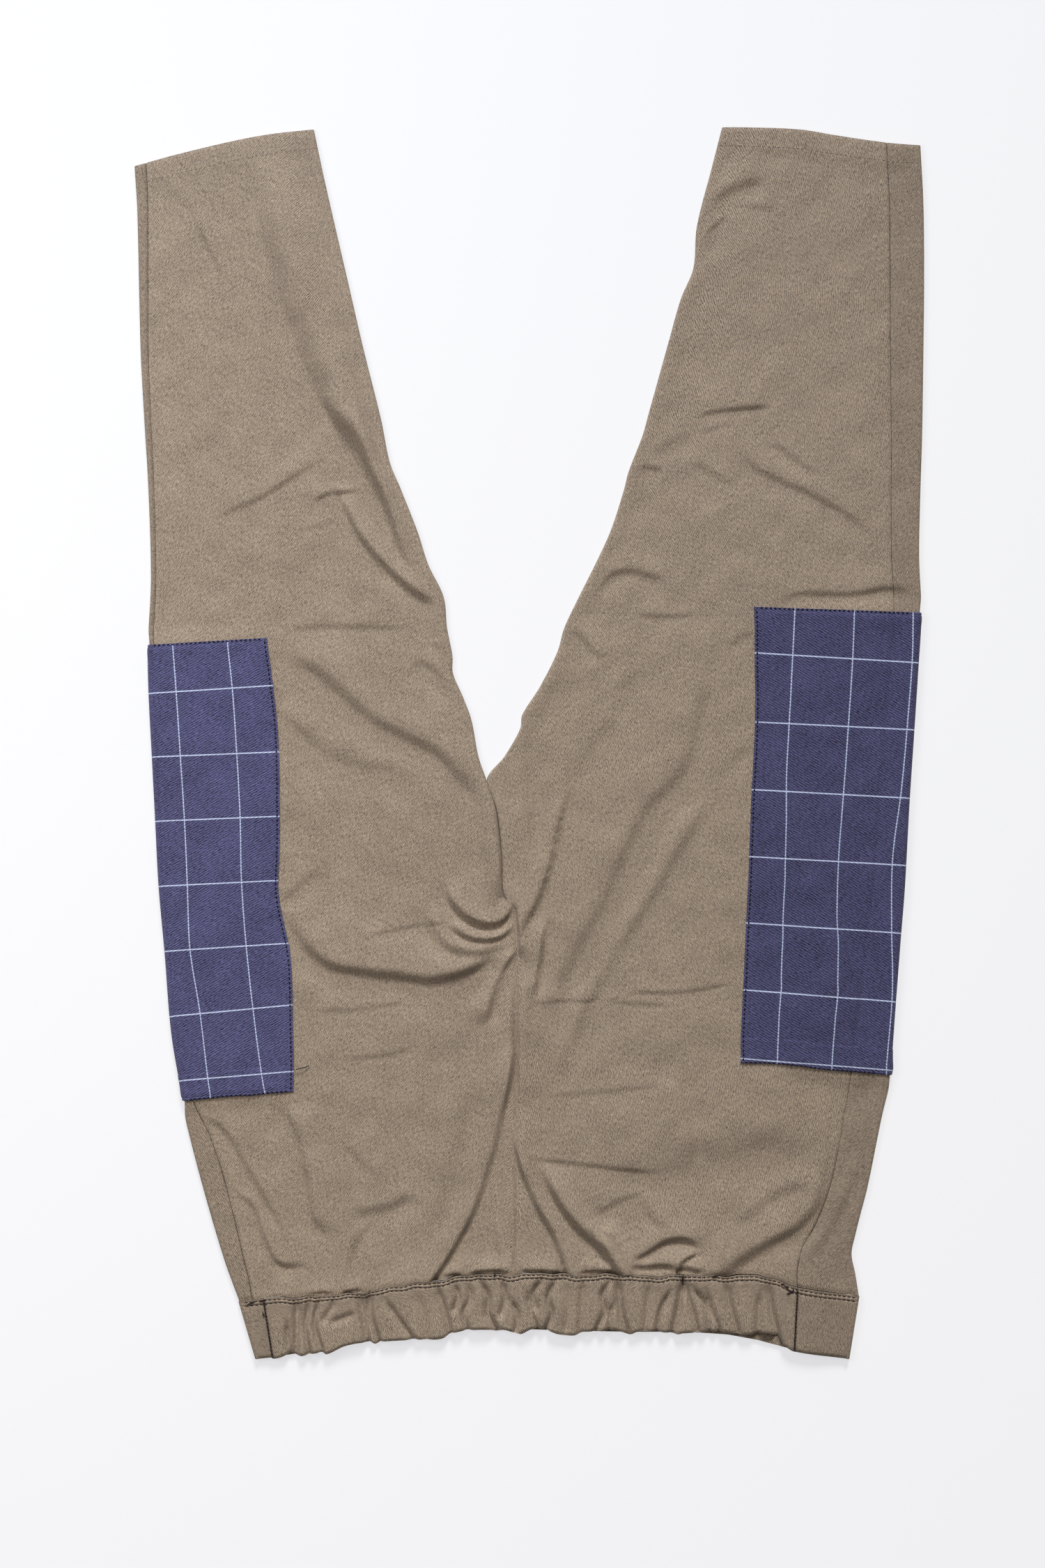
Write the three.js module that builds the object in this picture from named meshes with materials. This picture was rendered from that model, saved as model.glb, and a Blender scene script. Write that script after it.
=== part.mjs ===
// Patch pocket trousers of cotton drill, lying flat with the back uppermost.
// Millimetres, +Z up. The waist points to -Y and the hems to +Y, and Z = 0 is the surface they lie on.
// Left and right are the wearer's: the right leg lies at -X.
import * as THREE from 'three';

// Driving dimensions
const CLOTH = 1.1; // wall of one layer of drill
const POCKET_CLOTH = 1.0; // wall of a patch pocket
const HEM_CLOTH = 2.0; // wall where the hem is turned in
const BAND_CLOTH = 2.2; // wall of the folded waistband
const SEAM_GAP = 0.3; // between two pieces that are sewn together
const HEM_TURN = 13; // depth of the turned hem
const HEM_RAMP = 3; // length over which the hem's wall grows
const SIDE_RADIUS = 2.4; // outside radius of a leg's folded outer edge
const BAND_RADIUS = 3.0; // outside radius of the waistband's folded ends
const LOFT = 3.6; // height of the upper layer's face where nothing lifts it
const WAIST_RISE = 2.0; // how much more it lifts at the waistband seam
const WAIST_REACH = 34; // length over which that lift dies out
const WAIST_FADE = 6; // how fast the rows of a leg turn from the waist's curve to straight ones
const HEM_FADE = 8; // and at the hem's curve
const WIDEST_POCKET = 0.6; // most of a leg's width that its pocket's columns take
const EDGE_REACH = 14; // distance from a folded edge over which creases die out
const SETTLE = 0.8; // softness with which the upper layer comes to rest on the lower one
const POCKET_LIFT = POCKET_CLOTH + SEAM_GAP; // the leg lies this high on the pocket beneath it
const STEP_DOWN = 12; // length over which the front comes down from the pocket to the surface
const STEP_OVER = 34; // length over which the back comes down above it
const CROTCH_Y = -128; // where the centre seams end and the legs part
const PARTING = 30; // length over which the seam turns into a folded leg edge
const FLAT_TURN = 0.1; // radians that an inner edge may turn and still be made as a flat one
const FOLD_CLEARANCE = 1.0; // between the front's end and the fold that comes down beside it

const OLIVE = 0x8c7d68;
const NAVY = 0x3d3a5c;

// Fineness of the mesh
const STEPS = {
  waistToPocket: 11,
  besidePocket: 17,
  pocketToHem: 12,
  innerFront: 3,
  pocketFront: 2,
  sideFold: 4,
  pocketBack: 7,
  innerBack: 10,
  innerFold: 4,
  band: 120,
  bandUnder: 14,
};

const EPSILON = 1e-6;

// Helpers
const table = (columns, rows) =>
  rows.map((row) => Object.fromEntries(columns.map((name, i) => [name, row[i]])));
const mix = (a, b, t) => a + (b - a) * t;
const clamp = (t, low, high) => Math.min(high, Math.max(low, t));
const smooth = (t) => {
  const c = clamp(t, 0, 1);
  return c * c * (3 - 2 * c);
};
const steps = (from, to, count) =>
  Array.from({ length: count + 1 }, (_, i) => mix(from, to, i / count));

// A smooth curve through a table's rows: gives column `value` at any place along column `key`.
function curve(rows, key, value) {
  const at = rows.map((row) => row[key]);
  const is = rows.map((row) => row[value]);
  const last = at.length - 1;
  const slopes = at.map((_, i) => {
    const a = Math.max(0, i - 1);
    const b = Math.min(last, i + 1);
    return (is[b] - is[a]) / (at[b] - at[a]);
  });
  return (place) => {
    const t = clamp(place, at[0], at[last]);
    let i = 0;
    while (i < last - 1 && t > at[i + 1]) i += 1;
    const span = at[i + 1] - at[i];
    const u = (t - at[i]) / span;
    const h1 = u * u * (3 - 2 * u);
    const h2 = u * (1 - u) * (1 - u) * span;
    const h3 = u * u * (u - 1) * span;
    return is[i] * (1 - h1) + is[i + 1] * h1 + slopes[i] * h2 + slopes[i + 1] * h3;
  };
}

// Waistband seam and the waistband's upper edge, back and front
const WAIST_SEAM = table(
  ['x', 'y'],
  [[-217, -415], [-187, -411.5], [-146, -410], [-94, -402.5], [-46, -395.5], [-10, -394],
    [45, -394.5], [112, -395.5], [150, -395], [178, -397], [199, -404], [246, -411]],
);
const BAND_EDGE = table(
  ['x', 'back', 'front'],
  [[-205, -459, -458], [-187, -457, -456], [-153, -453, -451], [-114, -446, -444],
    [-74, -443, -440], [-46, -437, -436], [-6, -438, -436], [32, -439, -437], [75, -439, -438],
    [112, -438, -438], [148, -438, -440], [170, -441, -444], [187, -446, -448],
    [198, -453, -452], [239, -458, -458]],
);
const waistSeam = curve(WAIST_SEAM, 'x', 'y');

// On the front, beneath, that seam runs straight from each folded side to the centre.
const FRONT_SEAM = { right: [-217, -415], centre: [-10, -394], left: [246, -411] };
function frontSeam(x) {
  const from = x < FRONT_SEAM.centre[0] ? FRONT_SEAM.right : FRONT_SEAM.left;
  const share = (x - from[0]) / (FRONT_SEAM.centre[0] - from[0]);
  return mix(from[1], FRONT_SEAM.centre[1], share);
}

// The centre seams, back and front, from the waist to the crotch
const CENTRE = [[-394, -9.5], [-300, -9.5], [-250, -9.5], [-200, -9.5], [-160, -9.5]];

const LEGS = [
  {
    name: 'right',
    side: -1,
    waistOuterY: -413,
    hemOuterY: 430,
    hemInnerY: 458,
    // Folded outer edge, pocket included
    outer: table(
      ['y', 'x'],
      [[-413, -216.5], [-383, -227.5], [-331, -243], [-281, -256], [-265, -258.5], [-215, -267],
        [-155, -272], [-105, -276.5], [-57, -279], [-9, -281.5], [40, -284], [74, -284.5],
        [124, -282.3], [191, -284.2], [243, -287.3], [295, -290], [399, -292.5], [430, -294.5]],
    ),
    // Centre seam, then the folded inner edge
    inner: table(
      ['y', 'x'],
      [...CENTRE.map(([y, x]) => [y, x - SEAM_GAP / 2]), [-137, -10.6], [-124, -14], [-110, -20],
        [-82, -21.3], [-49, -25], [-26, -32.2], [-9, -38], [18, -43.2], [35, -49.4],
        [53, -57], [66, -57.4], [87, -61.4], [110, -64], [134, -75.4], [158, -83.2],
        [191, -96.2], [210, -104], [243, -110.8], [295, -123.8], [340, -134.2], [419, -152.4],
        [458, -160.7]],
    ),
    hem: table(
      ['x', 'y'],
      [[-296, 430], [-268, 438], [-218, 450], [-189, 455], [-160, 458]],
    ),
    // Outseam: distance from the folded outer edge, on the upper side
    outseam: table(
      ['y', 'in'],
      [[-413, 10], [-393, 13.5], [-335, 17], [-293, 15], [-265, 8], [-200, 5], [130, 4],
        [204, 4.5], [295, 6], [430, 9]],
    ),
    innerHeight: table(
      ['y', 'high'],
      [[-130, 6.2], [-90, 8.2], [-40, 7.4], [0, 5.6], [60, 5.0], [106, 5.6], [160, 5.4],
        [457, 4.8]],
    ),
    across: table(['outer', 'inner'], [[-413, -394], [-265, -243], [74, 87], [430, 458]]),
    pocket: {
      openY: -265,
      endY: 74,
      front: 82,
      back: table(
        ['y', 'in'],
        [[-265, 83], [-235, 88.5], [-200, 92.5], [-165, 93.5], [-120, 89], [-80, 92], [0, 95],
          [45, 92.5], [74, 89]],
      ),
    },
  },
  {
    name: 'left',
    side: 1,
    waistOuterY: -410,
    hemOuterY: 446,
    hemInnerY: 459.5,
    outer: table(
      ['y', 'x'],
      [[-410, 245.5], [-394, 243], [-379, 240.2], [-365, 243], [-349, 247], [-329, 252.2],
        [-277, 262.8], [-246, 270], [-225, 270.8], [-147, 276.6], [-107, 279.8], [-42, 283.4],
        [12, 287], [52, 289.6], [98, 292.2], [139, 290.6], [178, 291.2], [230, 292.8],
        [295, 293.8], [347, 294.3], [402, 293.8], [446, 291.5]],
    ),
    inner: table(
      ['y', 'x'],
      [...CENTRE.map(([y, x]) => [y, x + SEAM_GAP / 2]), [-137, -9.1], [-124, -12], [-110, -18],
        [-82, -19.6], [-49, -22.8], [-26, -29], [-9, -18.7], [12, -6.8], [22, -5.4], [43, 7.8],
        [69, 20.8], [87, 26], [111, 37.4], [137, 50.4], [160, 60.8], [189, 70.2], [203, 73.8],
        [230, 84.2], [245, 88.4], [301, 104], [332, 112.8], [355, 122.2], [386, 124.8],
        [431, 136.2], [459.5, 143.5]],
    ),
    hem: table(
      ['x', 'y'],
      [[143, 459.5], [161, 459.5], [201, 458], [229, 453.5], [265, 448.3], [291.5, 446]],
    ),
    outseam: table(
      ['y', 'in'],
      [[-410, 46], [-397, 44], [-363, 31], [-327, 27], [-273, 28], [-247, 30], [-150, 25],
        [105, 20.5], [310, 25], [446, 25.5]],
    ),
    innerHeight: table(
      ['y', 'high'],
      [[-130, 4.8], [-40, 4.2], [0, 4.6], [26, 5.6], [80, 5.0], [459.5, 4.8]],
    ),
    across: table(['outer', 'inner'], [[-410, -394], [-246, -229.5], [98, 107], [446, 459.5]]),
    pocket: {
      openY: -246,
      endY: 98,
      front: 54,
      back: table(
        ['y', 'in'],
        [[-246, 113], [-181, 114.5], [-120, 116.5], [-47, 118], [12, 119], [72, 123.2], [98, 125]],
      ),
    },
  },
];

// Largest folds of the upper layer. Each runs from `a` through `b` to `c`; `high` is its height,
// less than nothing for a trough, and `near` and `far` are its widths left and right of that run.
const FOLDS = table(
  ['a', 'b', 'c', 'high', 'near', 'far'],
  [
    [[-205, 412], [-160, 285], [-92, 148], -2.4, 15, 15],
    [[-135, 172], [-100, 126], [-62, 101], -2.6, 9, 9],
    [[-118, 190], [-92, 150], [-70, 118], 2.2, 9, 9],
    [[-187, 67], [-110, 8], [-34, -45], -2.4, 12, 12],
    [[-200, 90], [-150, 62], [-95, 30], 1.6, 14, 14],
    [[-165, -140], [-95, -160], [-25, -150], 5.0, 26, 10],
    [[-186, -124], [-165, -150], [-158, -172], -2.6, 9, 9],
    [[-116, -80], [-100, -95], [-90, -120], -1.8, 12, 12],
    [[-70, -96], [-50, -128], [-18, -128], -2.6, 8, 8],
    [[-60, -128], [-38, -141], [-14, -134], 2.2, 6, 6],
    [[-14, -225], [-26, -300], [-74, -392], 5.2, 18, 6],
    [[-24, -196], [-19, -178], [-9, -160], -2.4, 7, 7],
    [[-238, -276], [-212, -318], [-190, -388], 3.0, 8, 10],
    [[-226, -290], [-206, -340], [-184, -396], -1.6, 10, 10],
    [[-178, -262], [-163, -328], [-160, -370], -2.2, 11, 11],
    [[-150, -300], [-146, -350], [-140, -398], 2.4, 12, 12],
    [[-92, -338], [-108, -348], [-126, -366], -2.6, 9, 9],
    [[-2, 6], [4, -50], [2, -90], -2.4, 8, 7],
    [[30, -40], [14, -92], [-2, -132], 4.0, 9, 6],
    [[12, -138], [10, -158], [5, -182], -2.6, 6, 6],
    [[104, -20], [62, -106], [24, -205], -2.2, 14, 14],
    [[140, -8], [96, -74], [46, -160], 2.8, 14, 16],
    [[-9, -300], [0, -338], [24, -388], -2.4, 6, 7],
    [[2, -305], [22, -350], [52, -388], 4.0, 8, 10],
    [[76, -386], [108, -366], [132, -378], -2.6, 8, 8],
    [[84, -392], [104, -382], [124, -388], 2.8, 8, 8],
    [[222, -340], [176, -366], [140, -392], 4.4, 9, 9],
    [[240, -262], [238, -310], [222, -356], -2.2, 7, 7],
    [[200, -60], [214, -125], [240, -215], -1.8, 13, 13],
    [[136, 404], [156, 410], [180, 398], -2.2, 8, 9],
    [[126, 376], [140, 392], [160, 380], 2.0, 10, 12],
    [[126, 245], [156, 249], [184, 252], -1.8, 8, 8],
    [[76, 203], [90, 202], [108, 210], -2.2, 9, 9],
    [[158, 238], [198, 204], [246, 170], 2.0, 9, 9],
    [[160, 218], [200, 190], [256, 150], -1.8, 9, 9],
    [[54, 121], [76, 129], [102, 120], -2.4, 8, 8],
    [[28, 88], [42, 80], [54, 66], -2.6, 8, 8],
    [[190, 108], [238, 114], [290, 118], -1.8, 8, 8],
  ],
);

const FOLD_TAPER = 0.25; // share of its length over which each end of a fold dies out
const FOLD_SAMPLES = 14; // straight stretches that each fold's curve is measured in

// Troughs of the gathered waistband: where each starts at the seam and ends at the upper edge
const GATHERS = table(
  ['seam', 'edge', 'deep', 'wide'],
  [
    [-181, -180, 1.8, 4], [-174, -170, 2.4, 4], [-160, -163, 2.2, 4], [-146, -148, 1.6, 5],
    [-128, -120, 2.6, 4], [-112, -114, 2.2, 4], [-106, -92, 1.8, 5], [-68, -66, 2.4, 4],
    [-56, -55, 2.0, 4], [-45, -46, 1.6, 4], [-36, -31, 2.6, 4], [-22, -24, 2.0, 4],
    [-9, -8, 1.8, 4], [3, 1, 2.6, 4], [9, 10, 2.0, 3.5], [19, 18, 2.4, 4], [27, 25, 1.8, 4],
    [42, 42, 2.0, 4], [58, 54, 2.6, 4], [65, 68, 2.4, 4], [86, 88, 1.6, 5], [98, 97, 2.2, 4],
    [110, 106, 2.6, 4], [117, 121, 2.4, 4], [131, 137, 2.0, 4], [147, 152, 1.8, 5],
    [168, 169, 2.2, 4], [180, 186, 1.8, 4],
  ],
);
const BAND_LOFT = 6.4; // height of the gathered band's face between its troughs
const BAND_CROWN = 1.2; // how much higher it stands where the gathers are deepest
const SEAM_SHARE = 0.45; // share of the gathers' depth at the waistband seam
const FULL_DEPTH_AT = 0.4; // share of the band's height at which they reach their full depth
const SCALLOP = 0.5; // how far each trough draws the band's edge in, as a share of its depth
const BAND_END_REACH = 30; // length over which the gathers die out towards the folded ends
const BAND_ROWS = [0, 0.3, 0.65, 1]; // shares of the band's height at which it is worked out
const CASING = { left: [199.5, 197], right: [-198, -191] }; // casing seams, at the seam and edge

// Share of a fold's height at a point, from its distance to the curve through a, b and c.
function foldShape(fold, x, y) {
  let best = Infinity;
  let along = 0;
  let side = 0;
  let before = null;
  for (let i = 0; i <= FOLD_SAMPLES; i += 1) {
    const t = i / FOLD_SAMPLES;
    const p = [0, 1].map((k) => {
      const bend = 2 * fold.b[k] - (fold.a[k] + fold.c[k]) / 2;
      return (1 - t) ** 2 * fold.a[k] + 2 * t * (1 - t) * bend + t * t * fold.c[k];
    });
    if (before) {
      const [dx, dy] = [p[0] - before[0], p[1] - before[1]];
      const u = clamp(((x - before[0]) * dx + (y - before[1]) * dy) / (dx * dx + dy * dy), 0, 1);
      const [ox, oy] = [x - before[0] - u * dx, y - before[1] - u * dy];
      const away = Math.hypot(ox, oy);
      if (away < best) {
        best = away;
        along = (i - 1 + u) / FOLD_SAMPLES;
        side = dx * oy - dy * ox;
      }
    }
    before = p;
  }
  const width = side > 0 ? fold.near : fold.far;
  const ends = smooth(along / FOLD_TAPER) * smooth((1 - along) / FOLD_TAPER);
  return Math.exp(-((best / width) ** 2)) * ends;
}

// Height that all the folds together give a point of the upper layer.
function creases(x, y) {
  return FOLDS.reduce((sum, fold) => sum + fold.high * foldShape(fold, x, y), 0);
}

// A height that eases to rest on the one that it must not go below.
function restingOn(lowest, height) {
  const over = height - lowest;
  return lowest + (over + Math.hypot(over, SETTLE)) / 2;
}

// A closed wall from its outer and inner faces, both grids of points of the same size.
function shell(outer, inner, flip) {
  const rows = outer.length;
  const columns = outer[0].length;
  const positions = [...outer.flat(), ...inner.flat()].flatMap((p) => p.toArray());
  const index = [];
  const out = (r, c) => r * columns + c;
  const back = (r, c) => rows * columns + r * columns + c;
  const face = (a, b, c) => index.push(...(flip ? [a, c, b] : [a, b, c]));
  const quad = (a, b, c, d) => {
    face(a, b, c);
    face(a, c, d);
  };
  for (let r = 0; r + 1 < rows; r += 1) {
    for (let c = 0; c + 1 < columns; c += 1) {
      quad(out(r, c), out(r, c + 1), out(r + 1, c + 1), out(r + 1, c));
      face(back(r, c), back(r + 1, c + 1), back(r, c + 1));
      face(back(r, c), back(r + 1, c), back(r + 1, c + 1));
    }
    const end = columns - 1;
    quad(out(r, 0), out(r + 1, 0), back(r + 1, 0), back(r, 0));
    quad(out(r, end), back(r, end), back(r + 1, end), out(r + 1, end));
  }
  for (let c = 0; c + 1 < columns; c += 1) {
    const end = rows - 1;
    quad(out(0, c), back(0, c), back(0, c + 1), out(0, c + 1));
    quad(out(end, c), out(end, c + 1), back(end, c + 1), back(end, c));
  }
  const geometry = new THREE.BufferGeometry();
  geometry.setAttribute('position', new THREE.Float32BufferAttribute(positions, 3));
  geometry.setIndex(index);
  geometry.computeVertexNormals();
  return geometry;
}

// One face of a wall: the points moved along their own directions by a distance.
const moved = (grid, distance) =>
  grid.map((row) => row.map((p) => p.at.clone().addScaledVector(p.out, distance(p))));
const part = (grid, from, to) => grid.map((row) => row.slice(from, to + 1));

// Rows of a leg, from the waist (v = 0) to the hem (v = 1), with one at each end of the pocket.
function legRows(leg) {
  const span = leg.hemOuterY - leg.waistOuterY;
  const open = (leg.pocket.openY - leg.waistOuterY) / span;
  const end = (leg.pocket.endY - leg.waistOuterY) / span;
  const turn = 1 - HEM_TURN / span;
  const ramp = turn - HEM_RAMP / span;
  return {
    open,
    end,
    turn,
    all: [
      ...steps(0, open, STEPS.waistToPocket),
      ...steps(open, end, STEPS.besidePocket).slice(1),
      ...steps(end, ramp, STEPS.pocketToHem).slice(1),
      turn,
      1,
    ],
  };
}

// How far the seam at the crotch has turned into a folded leg edge: 0 is a seam, 1 a full fold.
const parted = (y) => smooth((y - CROTCH_Y) / PARTING);

// The folded inner edge, which turns down to the surface. `reach` is how far it stands out from
// where it starts, and `frontEnd` is how far short of its outermost point the front stays.
function innerFold(turn, high, wall) {
  const quarter = Math.PI / 2;
  const length = quarter * high;
  if (turn < FLAT_TURN) return { radius: length / FLAT_TURN, reach: length, frontEnd: 0 };
  if (turn < quarter) {
    const radius = length / turn;
    const frontEnd = (wall + FOLD_CLEARANCE) * smooth((turn - FLAT_TURN) / (quarter / 4));
    return { radius, reach: radius * Math.sin(turn), frontEnd };
  }
  const radius = high / (1 - Math.cos(turn));
  const frontEnd = radius - (radius - wall) * Math.sin(turn) + FOLD_CLEARANCE;
  return { radius, reach: radius, frontEnd };
}

// The leg's whole section at row v: points in order round it, from the inner end of the front
// over the folded outer edge to the inner end of the back.
function legSection(leg, curves, rows, v) {
  const inPocket = v > rows.open - EPSILON && v < rows.end + EPSILON;
  const lift = inPocket ? POCKET_LIFT : 0;
  const outerY = mix(leg.waistOuterY, leg.hemOuterY, v);
  const innerY = curves.across(outerY);
  const outer = new THREE.Vector2(curves.outer(outerY), outerY);
  const inner = new THREE.Vector2(curves.inner(innerY), innerY);
  const inward = inner.clone().sub(outer).normalize();
  outer.addScaledVector(inward, lift);
  const width = inner.distanceTo(outer);
  const waistStart = curves.outer(leg.waistOuterY);
  const hemStart = curves.outer(leg.hemOuterY);
  const hemEnd = curves.inner(leg.hemInnerY);
  const wall = v > rows.turn - EPSILON ? HEM_CLOTH : CLOTH;

  // Plan point at a distance from the outer edge. The waist and hem rows follow their own curves.
  const plan = (d, seamLine = waistSeam) => {
    const s = d / width;
    const waistX = mix(waistStart, CENTRE[0][1], s);
    const hemX = mix(hemStart, hemEnd, s);
    const atWaist = seamLine(waistX) - mix(leg.waistOuterY, CENTRE[0][0], s);
    const atHem = curves.hem(hemX) - mix(leg.hemOuterY, leg.hemInnerY, s);
    const p = outer.clone().addScaledVector(inward, d);
    p.y += (1 - v) ** WAIST_FADE * (atWaist + SEAM_GAP / 2) + v ** HEM_FADE * atHem;
    return p;
  };

  const open = parted(innerY);
  const high = curves.innerHeight(innerY);
  const turn = Math.PI * open;
  const { radius, reach, frontEnd } = innerFold(turn, high, wall);

  const sideTop = lift + 2 * SIDE_RADIUS;
  const frontSplit = Math.min(leg.pocket.front, width * WIDEST_POCKET);
  const backSplit = Math.min(curves.pocketBack(outerY) - lift, width * WIDEST_POCKET);

  // Height of the upper layer's face at a distance from the outer edge
  const upper = (d) => {
    const p = plan(d);
    const beneath = lift * smooth((frontSplit + STEP_DOWN + STEP_OVER - d) / STEP_OVER);
    const rise = WAIST_RISE * Math.exp(-(p.y - waistSeam(p.x)) / WAIST_REACH);
    const free = LOFT + beneath + rise + creases(p.x, p.y);
    const lowest = beneath + 2 * wall + SEAM_GAP;
    const resting = restingOn(lowest, free);
    const byOuter = smooth(1 - (d - SIDE_RADIUS) / EDGE_REACH);
    const byInner = open * smooth(1 - (width - reach - d) / EDGE_REACH);
    return mix(mix(resting, sideTop, byOuter), high, byInner);
  };

  const points = [];
  const add = (p, z, ox, oz) =>
    points.push({
      at: new THREE.Vector3(p.x, p.y, z),
      out: new THREE.Vector3(inward.x * ox, inward.y * ox, oz),
      wall,
    });

  // Front, under the back: flat on the surface, or on the pocket
  const underEnd = width - frontEnd;
  const downAt = frontSplit + STEP_DOWN;
  for (const d of steps(underEnd, downAt, STEPS.innerFront - 1)) add(plan(d, frontSeam), 0, 0, -1);
  for (const d of steps(frontSplit, SIDE_RADIUS, STEPS.pocketFront)) add(plan(d, frontSeam), lift, 0, -1);
  for (const turned of steps(-90, 90, STEPS.sideFold).slice(1)) {
    const angle = THREE.MathUtils.degToRad(turned);
    const d = SIDE_RADIUS * (1 - Math.cos(angle));
    add(plan(d), lift + SIDE_RADIUS * (1 + Math.sin(angle)), -Math.cos(angle), Math.sin(angle));
  }
  const seam = Math.max(curves.outseam(outerY) - lift, SIDE_RADIUS + 1);
  add(plan(seam - SEAM_GAP / 2), upper(seam - SEAM_GAP / 2), 0, 1);
  // Back, from the outseam over the pocket's edge to the folded inner edge
  const foldStart = width - reach;
  for (const d of steps(seam + SEAM_GAP / 2, backSplit, STEPS.pocketBack)) add(plan(d), upper(d), 0, 1);
  for (const d of steps(backSplit, foldStart, STEPS.innerBack).slice(1)) add(plan(d), upper(d), 0, 1);
  const top = upper(foldStart);
  for (const share of steps(0, 1, STEPS.innerFold).slice(1)) {
    const angle = turn * share;
    if (turn < FLAT_TURN) {
      const d = foldStart + reach * share;
      add(plan(d), upper(d), 0, 1);
    } else {
      const d = foldStart + radius * Math.sin(angle);
      const z = top * (1 - (radius / high) * (1 - Math.cos(angle)));
      const flat = upper(Math.min(d, width));
      const bent = mix(flat, z, smooth(turn / (Math.PI / 2)));
      add(plan(d), bent, Math.sin(angle), Math.cos(angle));
    }
  }
  return points;
}

// Front, back and pocket of one leg, from the same points.
function makeLeg(leg) {
  const curves = {
    outer: curve(leg.outer, 'y', 'x'),
    inner: curve(leg.inner, 'y', 'x'),
    hem: curve(leg.hem, 'x', 'y'),
    outseam: curve(leg.outseam, 'y', 'in'),
    innerHeight: curve(leg.innerHeight, 'y', 'high'),
    across: curve(leg.across, 'outer', 'inner'),
    pocketBack: curve(leg.pocket.back, 'y', 'in'),
  };
  const rows = legRows(leg);
  const grid = rows.all.map((v) => legSection(leg, curves, rows, v));
  const seam = STEPS.innerFront + STEPS.pocketFront + STEPS.sideFold + 1;
  const last = grid[0].length - 1;
  const flip = leg.side > 0;
  const wallOf = (panel) => shell(moved(panel, () => 0), moved(panel, (p) => -p.wall), flip);
  const first = rows.all.findIndex((v) => v > rows.open - EPSILON);
  const onPocket = part(grid.slice(first, first + STEPS.besidePocket + 1),
    STEPS.innerFront, seam + 1 + STEPS.pocketBack);
  return {
    [`front_leg_${leg.name}`]: wallOf(part(grid, 0, seam)),
    [`back_leg_${leg.name}`]: wallOf(part(grid, seam + 1, last)),
    [`patch_pocket_${leg.name}`]: shell(
      moved(onPocket, () => POCKET_LIFT),
      moved(onPocket, () => SEAM_GAP),
      flip,
    ),
  };
}

// The waistband's plan: s runs from its right end to its left end, w from the seam to the edge.
const BAND_ENDS = { right: [-217, -204.5], left: [246, 238.5] };
function bandPlan(s, w, edge, seamLine = waistSeam) {
  const left = mix(...BAND_ENDS.left, w);
  const right = mix(...BAND_ENDS.right, w);
  const atSeam = seamLine(mix(BAND_ENDS.right[0], BAND_ENDS.left[0], s)) - SEAM_GAP / 2;
  const atEdge = edge(mix(BAND_ENDS.right[1], BAND_ENDS.left[1], s));
  return new THREE.Vector2(mix(right, left, s), mix(atSeam, atEdge, w));
}

// Height of the gathered casing's face.
function gathered(x, w) {
  const strength = mix(SEAM_SHARE, 1, smooth(w / FULL_DEPTH_AT));
  const troughs = GATHERS.reduce((sum, g) => {
    const away = (x - mix(g.seam, g.edge, w)) / g.wide;
    return sum + g.deep * Math.exp(-away * away);
  }, 0);
  return restingOn(2 * BAND_CLOTH + SEAM_GAP, BAND_LOFT + strength * (BAND_CROWN - troughs));
}

// The casing's height near its ends comes down to the folded ends of the front band.
function bandTop(x, w) {
  const right = mix(...BAND_ENDS.right, w) + BAND_RADIUS;
  const left = mix(...BAND_ENDS.left, w) - BAND_RADIUS;
  const flat = smooth(1 - Math.min(x - right, left - x) / BAND_END_REACH);
  return mix(gathered(x, w), 2 * BAND_RADIUS, flat);
}

function makeBackBand() {
  const edge = curve(BAND_EDGE, 'x', 'back');
  const grid = BAND_ROWS.map((w) => {
    const start = mix(...CASING.right, w) + SEAM_GAP / 2;
    const end = mix(...CASING.left, w) - SEAM_GAP / 2;
    const right = mix(...BAND_ENDS.right, w);
    const left = mix(...BAND_ENDS.left, w);
    return steps(start, end, STEPS.band).map((x) => {
      const p = bandPlan((x - right) / (left - right), w, edge);
      const scallop = w * SCALLOP * (gathered(x, 1) - BAND_LOFT);
      return {
        at: new THREE.Vector3(p.x, p.y + scallop, bandTop(x, w)),
        out: new THREE.Vector3(0, 0, 1),
      };
    });
  });
  return shell(moved(grid, () => 0), moved(grid, () => -BAND_CLOTH), true);
}

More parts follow.
